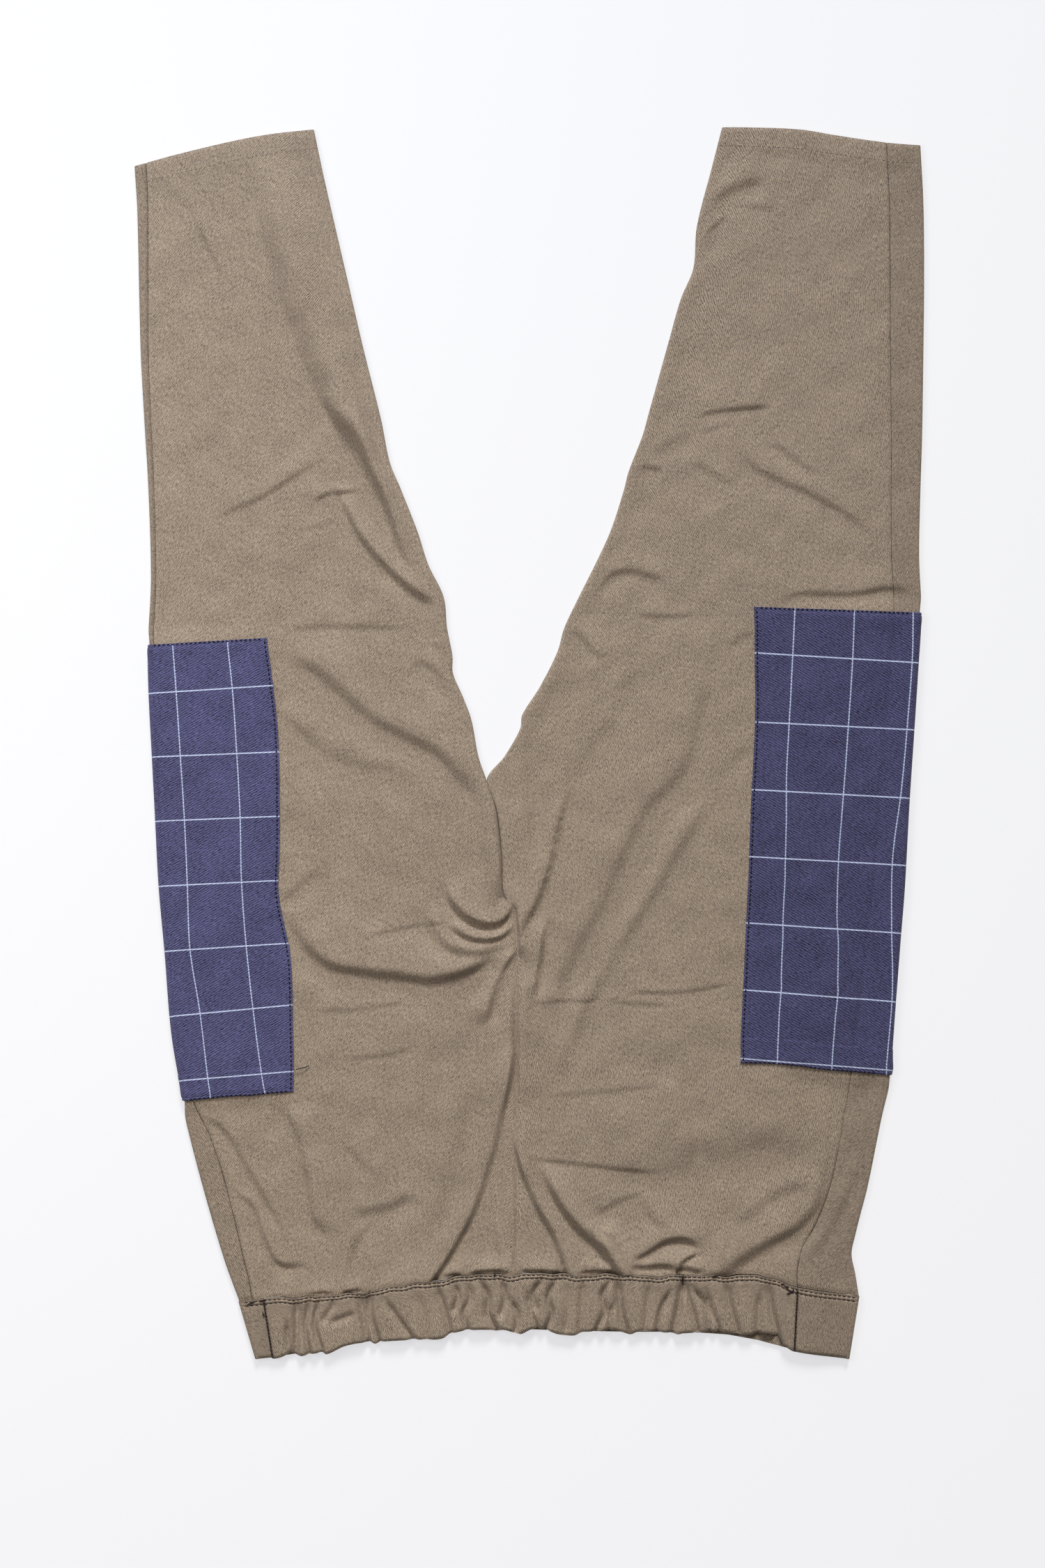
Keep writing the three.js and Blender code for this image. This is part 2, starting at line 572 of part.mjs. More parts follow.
function makeFrontBand() {
  const edge = curve(BAND_EDGE, 'x', 'front');
  const grid = BAND_ROWS.map((w) => {
    const right = mix(...BAND_ENDS.right, w);
    const left = mix(...BAND_ENDS.left, w);
    const shareAt = (x) => (x - right) / (left - right);
    const points = [];
    const add = (x, z, ox, oz, seamLine = waistSeam) => {
      const p = bandPlan(shareAt(x), w, edge, seamLine);
      points.push({ at: new THREE.Vector3(p.x, p.y, z), out: new THREE.Vector3(ox, 0, oz) });
    };
    const seams = [mix(...CASING.right, w) - SEAM_GAP / 2, mix(...CASING.left, w) + SEAM_GAP / 2];
    for (const x of steps(seams[0], right + BAND_RADIUS, 2)) add(x, bandTop(x, w), 0, 1);
    for (const turned of steps(90, -90, STEPS.sideFold).slice(1, -1)) {
      const angle = THREE.MathUtils.degToRad(turned);
      add(right + BAND_RADIUS * (1 - Math.cos(angle)), BAND_RADIUS * (1 + Math.sin(angle)),
        -Math.cos(angle), Math.sin(angle));
    }
    for (const x of steps(right + BAND_RADIUS, left - BAND_RADIUS, STEPS.bandUnder)) {
      add(x, 0, 0, -1, frontSeam);
    }
    for (const turned of steps(-90, 90, STEPS.sideFold).slice(1)) {
      const angle = THREE.MathUtils.degToRad(turned);
      add(left - BAND_RADIUS * (1 - Math.cos(angle)), BAND_RADIUS * (1 + Math.sin(angle)),
        Math.cos(angle), Math.sin(angle));
    }
    for (const x of steps(left - BAND_RADIUS, seams[1], 2).slice(1)) add(x, bandTop(x, w), 0, 1);
    return points;
  });
  return shell(moved(grid, () => 0), moved(grid, () => -BAND_CLOTH), false);
}

// Assembly
const drill = { color: OLIVE, roughness: 0.9, metalness: 0 };
const checked = { color: NAVY, roughness: 0.85, metalness: 0 };
const pieces = {
  ...makeLeg(LEGS[0]),
  ...makeLeg(LEGS[1]),
  waistband_back: makeBackBand(),
  waistband_front: makeFrontBand(),
};
const trousers = new THREE.Group();
for (const [name, geometry] of Object.entries(pieces)) {
  const look = name.startsWith('patch_pocket') ? checked : drill;
  const mesh = new THREE.Mesh(geometry, new THREE.MeshStandardMaterial(look));
  mesh.name = name;
  trousers.add(mesh);
}

export default trousers;
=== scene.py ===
"""Patch pocket trousers of cotton drill, lying flat with the back uppermost.

Tables and sizes are millimetres in the part's frame: -Y is the waist, +Y the hems, -X the wearer's
right leg and Z = 0 the surface. Meshes are made in metres.
"""
import math
from types import SimpleNamespace

import bpy
import numpy as np
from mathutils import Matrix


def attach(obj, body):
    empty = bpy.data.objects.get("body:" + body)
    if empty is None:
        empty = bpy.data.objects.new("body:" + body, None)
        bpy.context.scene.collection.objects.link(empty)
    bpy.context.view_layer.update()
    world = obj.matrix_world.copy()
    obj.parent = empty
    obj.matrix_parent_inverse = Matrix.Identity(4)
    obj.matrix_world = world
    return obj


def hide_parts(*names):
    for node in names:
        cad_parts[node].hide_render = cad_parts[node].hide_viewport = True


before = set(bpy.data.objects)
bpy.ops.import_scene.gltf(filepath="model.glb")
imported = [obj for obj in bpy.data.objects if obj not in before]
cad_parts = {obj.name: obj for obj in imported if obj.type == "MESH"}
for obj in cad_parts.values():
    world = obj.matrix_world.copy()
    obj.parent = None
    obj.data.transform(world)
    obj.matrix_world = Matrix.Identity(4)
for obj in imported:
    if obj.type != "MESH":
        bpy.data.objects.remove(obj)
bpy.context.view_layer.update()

MM = 0.001

# Cloth and seams
CLOTH = 1.1  # wall of one layer of drill
POCKET_CLOTH = 1.0
HEM_CLOTH = 2.0
BAND_CLOTH = 2.2
SEAM_GAP = 0.3
HEM_TURN = 13  # depth of the turned hem
HEM_RAMP = 12  # length above the turn over which the cloth thickens
SIDE_RADIUS = 2.4
BAND_RADIUS = 3.0
LOFT = 3.6  # height of the upper layer where nothing lifts it
WAIST_RISE = 2.0
WAIST_REACH = 34
WAIST_FADE = 6
HEM_FADE = 8
WIDEST_POCKET = 0.6
EDGE_REACH = 14
SETTLE = 0.8  # how softly one layer comes to rest on another
POCKET_LIFT = POCKET_CLOTH + SEAM_GAP
LIFT_RAMP = 13  # length over which the leg comes down past a pocket's end
STEP_DOWN = 12
STEP_OVER = 34
CROTCH_Y = -128
PARTING = 30
FLAT_TURN = 0.1
FOLD_CLEARANCE = 1.0

# Waistband seam and upper edge
WAIST_SEAM = [
    (-217, -415), (-187, -411.5), (-146, -410), (-94, -402.5), (-46, -395.5), (-10, -394),
    (45, -394.5), (112, -395.5), (150, -395), (178, -397), (199, -404), (246, -411),
]
FRONT_EDGE = [  # x and y of the front waistband's upper edge
    (-205, -458), (-187, -456), (-153, -451), (-114, -444), (-74, -440), (-46, -436),
    (-6, -436), (32, -437), (75, -438), (112, -438), (148, -440), (170, -444), (187, -448),
    (198, -452), (239, -458),
]
BACK_EDGE = [  # x and y of the back waistband's lumpy upper edge
    (-203, -459), (-187, -457), (-177, -453.4), (-172, -455.5), (-156, -452.9), (-151, -454),
    (-137, -447.7), (-120, -445.1), (-114, -446.7), (-110, -444.6), (-79, -443), (-66, -442.5),
    (-57, -438.4), (-47, -436.3), (-30, -435.8), (-24, -437.3), (-19, -435.8), (-7, -438.9),
    (2, -435.2), (12, -435.8), (21, -438.9), (33, -439.9), (42, -437.3), (55, -436.8),
    (63, -435.8), (68, -437.3), (74, -439.9), (80, -437.3), (102, -437.8), (109, -439.4),
    (114, -438.4), (141, -437.3), (151, -438.4), (162, -439.4), (174, -438.4), (181, -439.4),
    (186, -441.5), (189, -446.2), (194, -450.6), (202, -453.4), (223, -455), (238, -457.5),
]
FRONT_SEAM = [(-217, -415), (-10, -394), (246, -411)]
CENTRE_X = -9.5
CENTRE_Y = [-394, -300, -250, -200, -160]
CENTRE = [(y, CENTRE_X) for y in CENTRE_Y]

# Legs: `outer` and `inner` are the folded edges as (y, x), `outseam` is (y, distance in from
# the outer edge), `across` pairs y at the outer edge with y at the inner one
LEGS = [
    SimpleNamespace(
        name="right", side=-1, waist_y=-413, hem_y=430, hem_inner_y=458,
        outer=[(-413, -216.5), (-383, -227.5), (-331, -243), (-281, -256), (-265, -258.5),
               (-215, -267), (-155, -272), (-105, -276.5), (-57, -279), (-9, -281.5), (40, -284),
               (74, -284.5), (124, -282.3), (191, -284.2), (243, -287.3), (295, -290),
               (399, -292.5), (430, -294.5)],
        inner=CENTRE + [
            (-137, -10.6), (-124, -14), (-110, -20), (-82, -21.3), (-49, -25), (-26, -32.2),
            (-9, -38), (18, -43.2), (35, -49.4), (53, -57), (66, -57.4), (87, -61.4), (110, -64),
            (134, -75.4), (158, -83.2), (191, -96.2), (210, -104), (243, -110.8), (295, -123.8),
            (340, -134.2), (419, -152.4), (458, -160.7)],
        hem=[(-296, 430), (-268, 438), (-218, 450), (-189, 455), (-160, 458)],
        outseam=[(-413, 10), (-393, 13.5), (-335, 17), (-293, 15), (-265, 8), (-200, 5), (130, 4),
                 (204, 4.5), (295, 6), (430, 9)],
        inner_high=[(-130, 6.2), (-90, 8.2), (-40, 7.4), (0, 5.6), (60, 5.0), (106, 5.6),
                    (160, 5.4), (457, 4.8)],
        across=[(-413, -394), (-265, -243), (74, 87), (430, 458)],
        open_y=-265, end_y=74, pocket_front=82,
        pocket_back=[(-265, 83), (-235, 88.5), (-200, 92.5), (-165, 93.5), (-120, 89), (-80, 92),
                     (0, 95), (45, 92.5), (74, 89)],
    ),
    SimpleNamespace(
        name="left", side=1, waist_y=-410, hem_y=446, hem_inner_y=459.5,
        outer=[(-410, 245.5), (-394, 243), (-379, 240.2), (-365, 243), (-349, 247), (-329, 252.2),
               (-277, 262.8), (-246, 270), (-225, 270.8), (-147, 276.6), (-107, 279.8),
               (-42, 283.4), (12, 287), (52, 289.6), (98, 292.2), (139, 290.6), (178, 291.2),
               (230, 292.8), (295, 293.8), (347, 294.3), (402, 293.8), (446, 291.5)],
        inner=CENTRE + [
            (-137, -10.6), (-124, -14), (-110, -20), (-82, -21.3), (-49, -25), (-26, -31.8),
            (-9, -18.7), (12, -6.8), (22, -5.4), (43, 7.8), (69, 20.8), (87, 26), (111, 37.4),
            (137, 50.4), (160, 60.8), (189, 70.2), (203, 73.8), (230, 84.2), (245, 88.4),
            (301, 104), (332, 112.8), (355, 122.2), (386, 124.8), (431, 136.2), (459.5, 143.5)],
        hem=[(143, 459.5), (161, 459.5), (201, 458), (229, 453.5), (265, 448.3), (291.5, 446)],
        outseam=[(-410, 46), (-397, 44), (-363, 31), (-327, 27), (-273, 28), (-247, 30),
                 (-150, 25), (105, 20.5), (310, 25), (446, 25.5)],
        inner_high=[(-130, 3.6), (-112, 3.2), (-95, 3.6), (-40, 4.2), (0, 4.6), (26, 5.6),
                    (80, 5.0), (459.5, 4.8)],
        across=[(-410, -394), (-246, -229.5), (98, 107), (446, 459.5)],
        open_y=-246, end_y=98, pocket_front=54,
        pocket_back=[(-246, 113), (-181, 114.5), (-120, 116.5), (-47, 118), (12, 119),
                     (72, 123.2), (98, 125)],
    ),
]

# Creases of the upper layer. The side to the left of the run stands `rise` higher than the
# other, `steep` is half the width of the slope between, `above` and `below` are the lengths over
# which each side dies out, and `sunk` is the share of the rise that lies below the cloth around
CREASES = [
    # Right leg, hem to knee
    (9.2, 13, 16, 30, .1, [(-208, 450), (-197, 389), (-186, 350), (-174, 316), (-162, 284),
        (-150, 256), (-134, 225), (-117, 192), (-103, 160), (-92, 126)]),
    (5.4, 4.4, 8, 10, .35, [(-158, 268), (-146, 246), (-130, 228), (-118, 205), (-105, 176),
        (-97, 148), (-82, 116)]),
    (2.2, 1.8, 8, 8, .5, [(-262, 420), (-251, 396), (-240, 372), (-225, 340)]),
    (5.4, 3.0, 10, 9, .2, [(-150, 200), (-141, 182), (-131, 162), (-118, 144), (-104, 129),
        (-88, 115), (-70, 104), (-58, 100)]),
    (2.6, 1.8, 6, 5, .3, [(-163, 180), (-150, 186), (-136, 188), (-118, 189)]),
    (1.6, 2.6, 12, 8, .3, [(-239, 166), (-200, 184), (-172, 202), (-146, 215)]),
    (.9, 2, 8, 6, .3, [(-174, 159), (-156, 163), (-140, 169)]),
    (1.2, 1.6, 6, 4, .2, [(-239, 376), (-252, 399), (-265, 425)]),
    # Right thigh
    (1.2, 2.6, 12, 10, .3, [(-190, 85), (-146, 88), (-88, 86)]),
    (3.0, 9, 16, 16, .6, [(-196, 30), (-172, 8), (-140, -14), (-100, -20), (-70, -28)]),
    (5.0, 7, 18, 14, .35, [(-195, 74), (-179, 64), (-159, 54), (-135, 33), (-112, 15),
        (-88, 3), (-68, -8), (-51, -26), (-31, -44)]),
    (1.2, 3, 10, 8, .4, [(-188, 29), (-177, 17), (-161, 4)]),
    (3.4, 4, 9, 9, .6, [(-84, 64), (-68, 52), (-51, 41)]),
    (2.0, 1.6, 6, 4, .2, [(-74, 77), (-64, 69), (-55, 61)]),
    # Right seat
    (6.4, 6.0, 26, 12, .35, [(-181, -127), (-166, -152), (-148, -166), (-120, -171), (-94, -174),
        (-68, -177), (-43, -170), (-21, -158), (-4, -153)]),
    (3.0, 7, 12, 12, .6, [(-185, -121), (-174, -141), (-166, -157)]),
    (1.6, 3, 12, 8, .5, [(-185, -120), (-172, -106), (-155, -94)]),
    (.9, 1.6, 8, 6, .3, [(-127, -144), (-104, -139), (-55, -131)]),
    (5.8, 2.2, 10, 5, .4, [(-64, -100), (-58, -118), (-45, -130), (-29, -135), (-17, -130),
        (-9, -113)]),
    (4.0, 2.2, 5, 5, .4, [(-62, -132), (-50, -142), (-36, -146), (-20, -143), (-8, -132)]),
    (3.2, 4, 6, 8, .5, [(-78, -118), (-73, -136), (-62, -150), (-42, -155), (-20, -150),
        (-6, -145)]),
    (2.4, 6, 6, 14, .6, [(-74, -176), (-52, -172), (-36, -163), (-24, -154)]),
    (5.6, 3.0, 8, 9, .35, [(-33, -212), (-25, -183), (-18, -168), (-6, -150)]),
    (1.0, 2, 10, 8, .35, [(-164, -199), (-122, -197), (-88, -190)]),
    (.9, 2.2, 10, 8, .35, [(-138, -234), (-109, -232), (-83, -226)]),
    (5.4, 2.2, 26, 16, .35, [(-108, -450), (-74, -402), (-57, -377), (-41, -347), (-29, -312),
        (-20, -276), (-13, -240), (-9, -209)]),
    (2.4, 8, 16, 14, .5, [(-78, -381), (-62, -329), (-48, -277), (-36, -235)]),
    (2.0, 1.8, 6, 5, .4, [(-28, -350), (-24, -373), (-20, -395), (-18, -425)]),
    (2.4, 3.4, 12, 9, .45, [(-250, -276), (-230, -285), (-212, -314), (-197, -338), (-183, -366)]),
    (2.6, 2.6, 9, 8, .45, [(-224, -330), (-207, -344), (-196, -371), (-186, -387), (-161, -387)]),
    (4.0, 5, 12, 12, .4, [(-188, -261), (-174, -290), (-164, -335), (-160, -356), (-139, -366)]),
    (1.4, 3, 9, 6, .5, [(-138, -297), (-127, -309), (-115, -322)]),
    (1.4, 3, 9, 9, .5, [(-142, -425), (-134, -384), (-125, -364), (-110, -348)]),
    (2.6, 5, 10, 10, .5, [(-134, -352), (-118, -347), (-100, -343), (-86, -332)]),
    # Left seat
    (3.2, 1.5, 6, 3, .1, [(-25, -96), (-20, -105), (-16, -111), (-11.4, -120), (-8.8, -133),
        (-7.8, -150), (-7, -164)]),
    (5.0, 2.0, 9, 7, .25, [(-14, -270), (-10, -305), (4, -341), (18, -366), (29, -397),
        (40, -440)]),
    (6.2, 2.8, 9, 7, .3, [(5, -308), (21, -340), (38, -362), (56, -378), (69, -397),
        (80, -430)]),
    (1.8, 1.6, 6, 5, .4, [(40, -357), (51, -368), (62, -381)]),
    (4.0, 2.8, 10, 7, .4, [(71, -385), (87, -379), (102, -370), (117, -369), (131, -378)]),
    (3.6, 1.6, 5, 5, .4, [(106, -425), (109, -397), (114, -385), (131, -377)]),
    (4.8, 6.0, 20, 14, .35, [(108, -405), (138, -397), (158, -384), (178, -372), (198, -362),
        (212, -348), (219, -326), (223, -296)]),
    (1.6, 5, 14, 12, .5, [(151, -360), (182, -336), (213, -324)]),
    (2.0, 2.2, 9, 7, .4, [(198, -397), (219, -370), (240, -331), (252, -297), (258, -256)]),
    (1.6, 5, 10, 12, .5, [(222, -318), (224, -287), (222, -251)]),
    (2.2, 3.4, 9, 9, .5, [(4, -82), (0, -48), (-2, -17), (-5, 15)]),
    (5.4, 1.8, 8, 9, .4, [(-8, -146), (-2, -133), (8, -113), (16, -89), (21, -66), (30, -30)]),
    (5.0, 2.2, 6, 7, .4, [(3, -192), (7, -170), (10, -150), (13, -128)]),
    (5.0, 9, 24, 15, .6, [(4, -232), (27, -175), (55, -122), (88, -52), (120, -14), (130, 35),
        (136, 87)]),
    (3.4, 6, 12, 20, .3, [(21, -256), (36, -214), (56, -173), (94, -110), (125, -58), (146, -22)]),
    (3.6, 16, 34, 10, .3, [(40, -322), (90, -312), (140, -300), (190, -296), (222, -290)]),
    (1.4, 6, 14, 14, .6, [(21, -52), (31, -30), (56, 12), (75, 48)]),
    (1.4, 5, 12, 12, .5, [(125, -40), (148, -15), (167, 3)]),
    (1.0, 1.5, 10, 7, .35, [(-6, -194), (29, -191), (75, -193), (114, -195)]),
    (1.2, 1.5, 9, 7, .35, [(70, -184), (112, -185), (156, -177)]),
    (.8, 2, 10, 8, .4, [(10, -262), (55, -259), (104, -253)]),
    (1.3, 1.6, 9, 7, .35, [(-6, -308), (39, -313), (73, -317), (104, -321)]),
    (2.4, 4.0, 14, 12, .4, [(122, -331), (121, -297), (116, -269), (109, -240)]),
    (1.8, 3, 10, 8, .3, [(47, -352), (68, -340), (86, -335)]),
    (1.8, 3, 9, 8, .5, [(82, -332), (89, -349), (99, -362)]),
    # Seat cloth that hangs over the waist seam
    (1.6, 1.6, 6, 3, .2, [(-66, -396), (-58, -394.5), (-50, -394)]),
    (2.2, 1.4, 6, 3, .2, [(-46, -394), (-36, -392), (-24, -391.5), (-12, -393)]),
    (1.6, 1.4, 5, 3, .2, [(-8, -392), (4, -391.5), (14, -392), (26, -393.5)]),
    (2.4, 1.5, 6, 3, .2, [(36, -393), (46, -391.5), (60, -392), (70, -394)]),
    (3.6, 2.4, 8, 4, .2, [(72, -386), (84, -389), (98, -388), (112, -389)]),
    (2.6, 1.8, 6, 4, .2, [(106, -392), (118, -390), (130, -392.5)]),
    (1.2, 1.3, 6, 3, .2, [(-164, -409), (-156, -407.5), (-146, -408)]),
    (1.4, 1.3, 5, 3, .2, [(-140, -408), (-132, -406), (-124, -405.5)]),
    # Left pocket and thigh
    (5.2, 7, 20, 16, .5, [(251, -238), (248, -193), (235, -147), (208, -69), (183, 4)]),
    (2.4, 3.6, 10, 10, .5, [(50, 109), (60, 125), (75, 129), (91, 125), (104, 118)]),
    (1.3, 1.8, 9, 7, .4, [(78, 97), (99, 95), (125, 97)]),
    (2.8, 3.4, 14, 7, .4, [(181, 102), (198, 111), (226, 111), (245, 112), (268, 116), (291, 113)]),
    (2.6, 3.4, 8, 9, .5, [(24, 89), (36, 82), (46, 71), (53, 61)]),
    (1.4, 5, 9, 9, .5, [(65, 38), (75, 48), (88, 55)]),
    (1.2, 3.4, 8, 8, .5, [(148, 71), (157, 79), (166, 84)]),
    # Left leg, knee to hem
    (3.4, 6, 14, 10, .5, [(129, 399), (144, 409), (161, 417), (177, 420)]),
    (1.1, 2.8, 8, 8, .4, [(148, 405), (166, 401), (185, 398)]),
    (2.4, 2.0, 6, 12, .7, [(124, 365), (133, 381), (150, 395)]),
    (1.9, 1.7, 12, 9, .35, [(123, 244), (140, 248), (157, 250), (183, 252)]),
    (.9, 2, 7, 6, .4, [(126, 232), (140, 236), (153, 240)]),
    (1.5, 6, 12, 12, .6, [(88, 215), (107, 225), (125, 230)]),
    (2.4, 2.2, 8, 7, .6, [(72, 202), (84, 206), (101, 204)]),
    (2.6, 3.6, 12, 12, .45, [(156, 229), (165, 208), (187, 196), (206, 188), (225, 177),
        (245, 164), (258, 147)]),
    (1.6, 2.6, 7, 6, .6, [(177, 227), (195, 215), (216, 199)]),
    (1.2, 3, 8, 8, .5, [(120, 212), (138, 201), (156, 191)]),
    (1.0, 5, 12, 12, .5, [(257, 306), (252, 324), (235, 347)]),
]
# Creases that run down between two ridges: height of the ridges, half width of the trench, how
# far the ridges reach, and the path
TRENCHES = [
    (1.8, 2.8, 9, [(-9.5, -165), (-10.5, -190), (-11, -215), (-10.5, -240), (-10, -275)]),
    (2.6, 2.2, 6, [(52, -362), (61, -370), (68, -384), (72, -398)]),
    (.9, 1.6, 6, [(-9.5, -165), (-9.5, -280), (-9.5, -388)]),
]
CREASE_TAPER = 0.22  # share of its length over which each end of a crease dies out
FOOT = 0.22  # how deep a crease is tucked in at its foot, as a share of its rise
PATH_STEP = 5  # spacing of the points that a crease's path is measured at
# How far from their paths creases, trenches and gathers count, in lengths of their sides
CREASE_REACH = 2.2
TRENCH_REACH = 3
GATHER_REACH = 5

# Gathers of the back waistband: depth, half width of the valley's floor, reach of its right-hand
# and left-hand side as drawn downwards, the length it runs on into the seat, and its path
GATHERS = [
    (2.4, .9, 4, 5, 26, [(-173, -411), (-173, -433), (-174, -456)]),
    (1.8, .8, 3, 4, 0, [(-180, -430), (-180, -442), (-178, -456)]),
    (1.8, .8, 3, 4, 16, [(-163, -412), (-167, -435), (-164, -453)]),
    (1.8, .8, 3, 4, 12, [(-155, -411), (-160, -430), (-154, -453)]),
    (1.2, .8, 4, 4, 20, [(-145, -413), (-147, -419), (-153, -428)]),
    (1.1, 1.3, 4, 4, 0, [(-150, -430), (-143, -429), (-133, -425)]),
    (2.2, .9, 4, 5, 30, [(-127, -406), (-122, -433), (-119, -447)]),
    (2.2, .9, 4, 4, 12, [(-118, -405), (-119, -422), (-112, -447)]),
    (1.6, .9, 4, 5, 18, [(-108, -413), (-94, -433), (-85, -445)]),
    (1.0, 1.2, 6, 6, 24, [(-85, -407), (-80, -422), (-77, -440)]),
    (2.0, .9, 4, 5, 22, [(-70, -402), (-63, -422), (-59, -439)]),
    (1.6, .8, 3, 4, 10, [(-56, -401), (-53, -410), (-56, -421)]),
    (1.6, .9, 4, 4, 28, [(-47, -398), (-44, -412), (-49, -424), (-46, -437)]),
    (2.0, .9, 4, 5, 16, [(-38, -398), (-31, -410), (-31, -424), (-23, -438)]),
    (1.6, .8, 4, 4, 20, [(-21, -398), (-18, -411), (-21, -424)]),
    (1.8, .9, 4, 4, 0, [(-14, -414), (-9, -424), (-10, -436)]),
    (1.6, .8, 3, 4, 14, [(-2, -407), (1, -422), (7, -437)]),
    (1.8, .8, 3, 4, 18, [(9, -399), (3, -409), (5, -420)]),
    (1.8, .8, 3, 4, 26, [(20, -398), (14, -412), (17, -424), (12, -436)]),
    (1.0, 1.2, 6, 6, 12, [(27, -398), (29, -417), (27, -435)]),
    (1.4, 1.0, 5, 5, 20, [(40, -397), (39, -417), (38, -437)]),
    (1.8, .8, 3, 4, 24, [(60, -400), (54, -410), (56, -422), (50, -436)]),
    (1.4, .8, 3, 4, 0, [(63, -416), (60, -424), (59, -437)]),
    (2.4, .9, 4, 5, 18, [(66, -396), (68, -422), (73, -439)]),
    (1.2, 1.2, 5, 5, 14, [(90, -400), (88, -417), (86, -435)]),
    (1.8, .9, 4, 4, 20, [(105, -407), (98, -422), (95, -437)]),
    (2.6, .9, 4, 5, 12, [(114, -398), (112, -417), (107, -438)]),
    (1.8, .8, 3, 4, 0, [(116, -401), (120, -417), (125, -436)]),
    (2.0, .9, 4, 4, 22, [(121, -404), (131, -419), (134, -437)]),
    (1.6, .8, 4, 4, 10, [(131, -407), (135, -420), (141, -437)]),
    (1.8, .9, 4, 5, 24, [(146, -398), (149, -417), (155, -437)]),
    (1.6, 1.0, 5, 5, 16, [(172, -407), (171, -420), (170, -439)]),
    (2.2, .8, 4, 5, 12, [(177, -398), (180, -420), (186, -444)]),
]
BAND_LOFT = 8.8  # height of the waistband between its gathers
BAND_FLOOR = 3.5  # height that the deepest gathers come down to
GATHER_DEPTH = 2.4  # how many times deeper the casing's gathers are than the table's rows
GATHER_START = 0.35  # share of its depth that a gather has at its start
GATHER_GROWTH = 0.25  # share of its length over which it reaches the rest
SCALLOP = 0.15  # how far a gather draws the upper edge in, as a share of its depth
SCALLOP_DEEPEST = 2.6  # depth of a gather past which the edge is drawn in no further
BAND_END_REACH = 30
VALLEY_WIDTH = 0.5  # share of a gather's reach over which its sides come up
VALLEY_RIDGE = 0.13  # height of the ridges beside a gather, as a share of its depth
SEAT_SHARE = 0.55  # how deep a gather is where it runs on into the seat
SEAT_LIFT = 0.3  # height of the cloth beside it there, as a share of its depth
SEAT_START = 1  # distance above the waist seam at which that stretch starts
SEAT_TURN = (0.6, 1)  # shares of the run that its far end has in x and in y
CASING = {"left": (199.5, 197), "right": (-198, -191)}  # casing seams, at the seam and the edge
BAND_ENDS = {"left": (246, 238.5), "right": (-217, -204.5)}


# Arithmetic
def mix(a, b, t):
    return a + (b - a) * t


def smooth(t):
    c = np.clip(t, 0, 1)
    return c * c * (3 - 2 * c)


def dip(distance, width):
    """A soft round trough or ridge, 1 at its middle."""
    return np.exp(-((distance / width) ** 2))


def curve(rows, value=1):
    """A smooth curve through a table's rows, with its first column as the place."""
    at = np.array([row[0] for row in rows], float)
    level = np.array([row[value] for row in rows], float)
    last = len(at) - 1
    order = np.arange(last + 1)
    before = np.maximum(order - 1, 0)
    after = np.minimum(order + 1, last)
    slopes = (level[after] - level[before]) / (at[after] - at[before])

    def value_at(place):
        t = np.clip(place, at[0], at[last])
        i = np.clip(np.searchsorted(at, t, side="right") - 1, 0, last - 1)
        span = at[i + 1] - at[i]
        u = (t - at[i]) / span
        rise = u * u * (3 - 2 * u)
        leave = slopes[i] * u * (1 - u) ** 2 * span
        arrive = slopes[i + 1] * u * u * (u - 1) * span
        return mix(level[i], level[i + 1], rise) + leave + arrive

    return value_at


def straight(rows):
    """Straight stretches through a table's rows."""
    at, level = np.array(rows, float).T
    return lambda place: np.interp(place, at, level)


smooth_waist_seam = curve(WAIST_SEAM)
front_seam = straight(FRONT_SEAM)
SEAM_WANDER = [(.7, 53, .3), (.5, 27, 1.7), (.35, 16, 4.1)]  # height, wave length, phase
WANDER_END = 200  # distance from the middle at which the seam stops wandering
WANDER_FADE = 20


def waist_seam(x):
    """Waist seam, drawn up and down a little by the gathers."""
    between = smooth((WANDER_END - np.abs(x)) / WANDER_FADE)
    wander = sum(high * np.sin(2 * math.pi * x / length + phase)
                 for high, length, phase in SEAM_WANDER)
    return smooth_waist_seam(x) + wander * between


def resting_on(lowest, height):
    """A height that eases to rest on the one that it must not go below."""
    over = height - lowest
    return lowest + (over + np.hypot(over, SETTLE)) / 2


# Creases
def smooth_path(points):
    """Evenly spaced points along a smooth curve through the given ones."""
    points = np.array(points, float)
    lengths = np.hypot(*np.diff(points, axis=0).T)
    at = np.concatenate([[0], np.cumsum(lengths)])
    count = max(4, int(at[-1] / PATH_STEP))
    places = np.linspace(0, at[-1], count + 1)
    rows = np.column_stack([at, points])
    return np.column_stack([curve(rows, 1)(places), curve(rows, 2)(places)])


def beside(xy, path):
    """Signed distance of points to a path, left of its run above zero, and share along it."""
    nearest = np.full(len(xy), np.inf)
    signed = np.zeros(len(xy))
    along = np.zeros(len(xy))
    for i, (a, b) in enumerate(zip(path[:-1], path[1:])):
        run = b - a
        to = xy - a
        u = np.clip(to @ run / (run @ run), 0, 1)
        off = to - u[:, None] * run
        away = np.hypot(off[:, 0], off[:, 1])
        closer = away < nearest
        side = run[0] * off[:, 1] - run[1] * off[:, 0]
        nearest = np.where(closer, away, nearest)
        signed = np.where(closer, np.where(side < 0, -away, away), signed)
        along = np.where(closer, (i + u) / (len(path) - 1), along)
    return signed, along


def near_crease(xy, points, reach):
    """Which points lie within reach of a path, and their distance from it and share along it."""
    path = smooth_path(points)
    low = path.min(axis=0) - reach
    high = path.max(axis=0) + reach
    close = np.all((xy > low) & (xy < high), axis=1)
    return close, *beside(xy[close], path)


def tapered(along):
    """1 in the middle of a crease, dying out at its ends."""
    return smooth(along / CREASE_TAPER) * smooth((1 - along) / CREASE_TAPER)


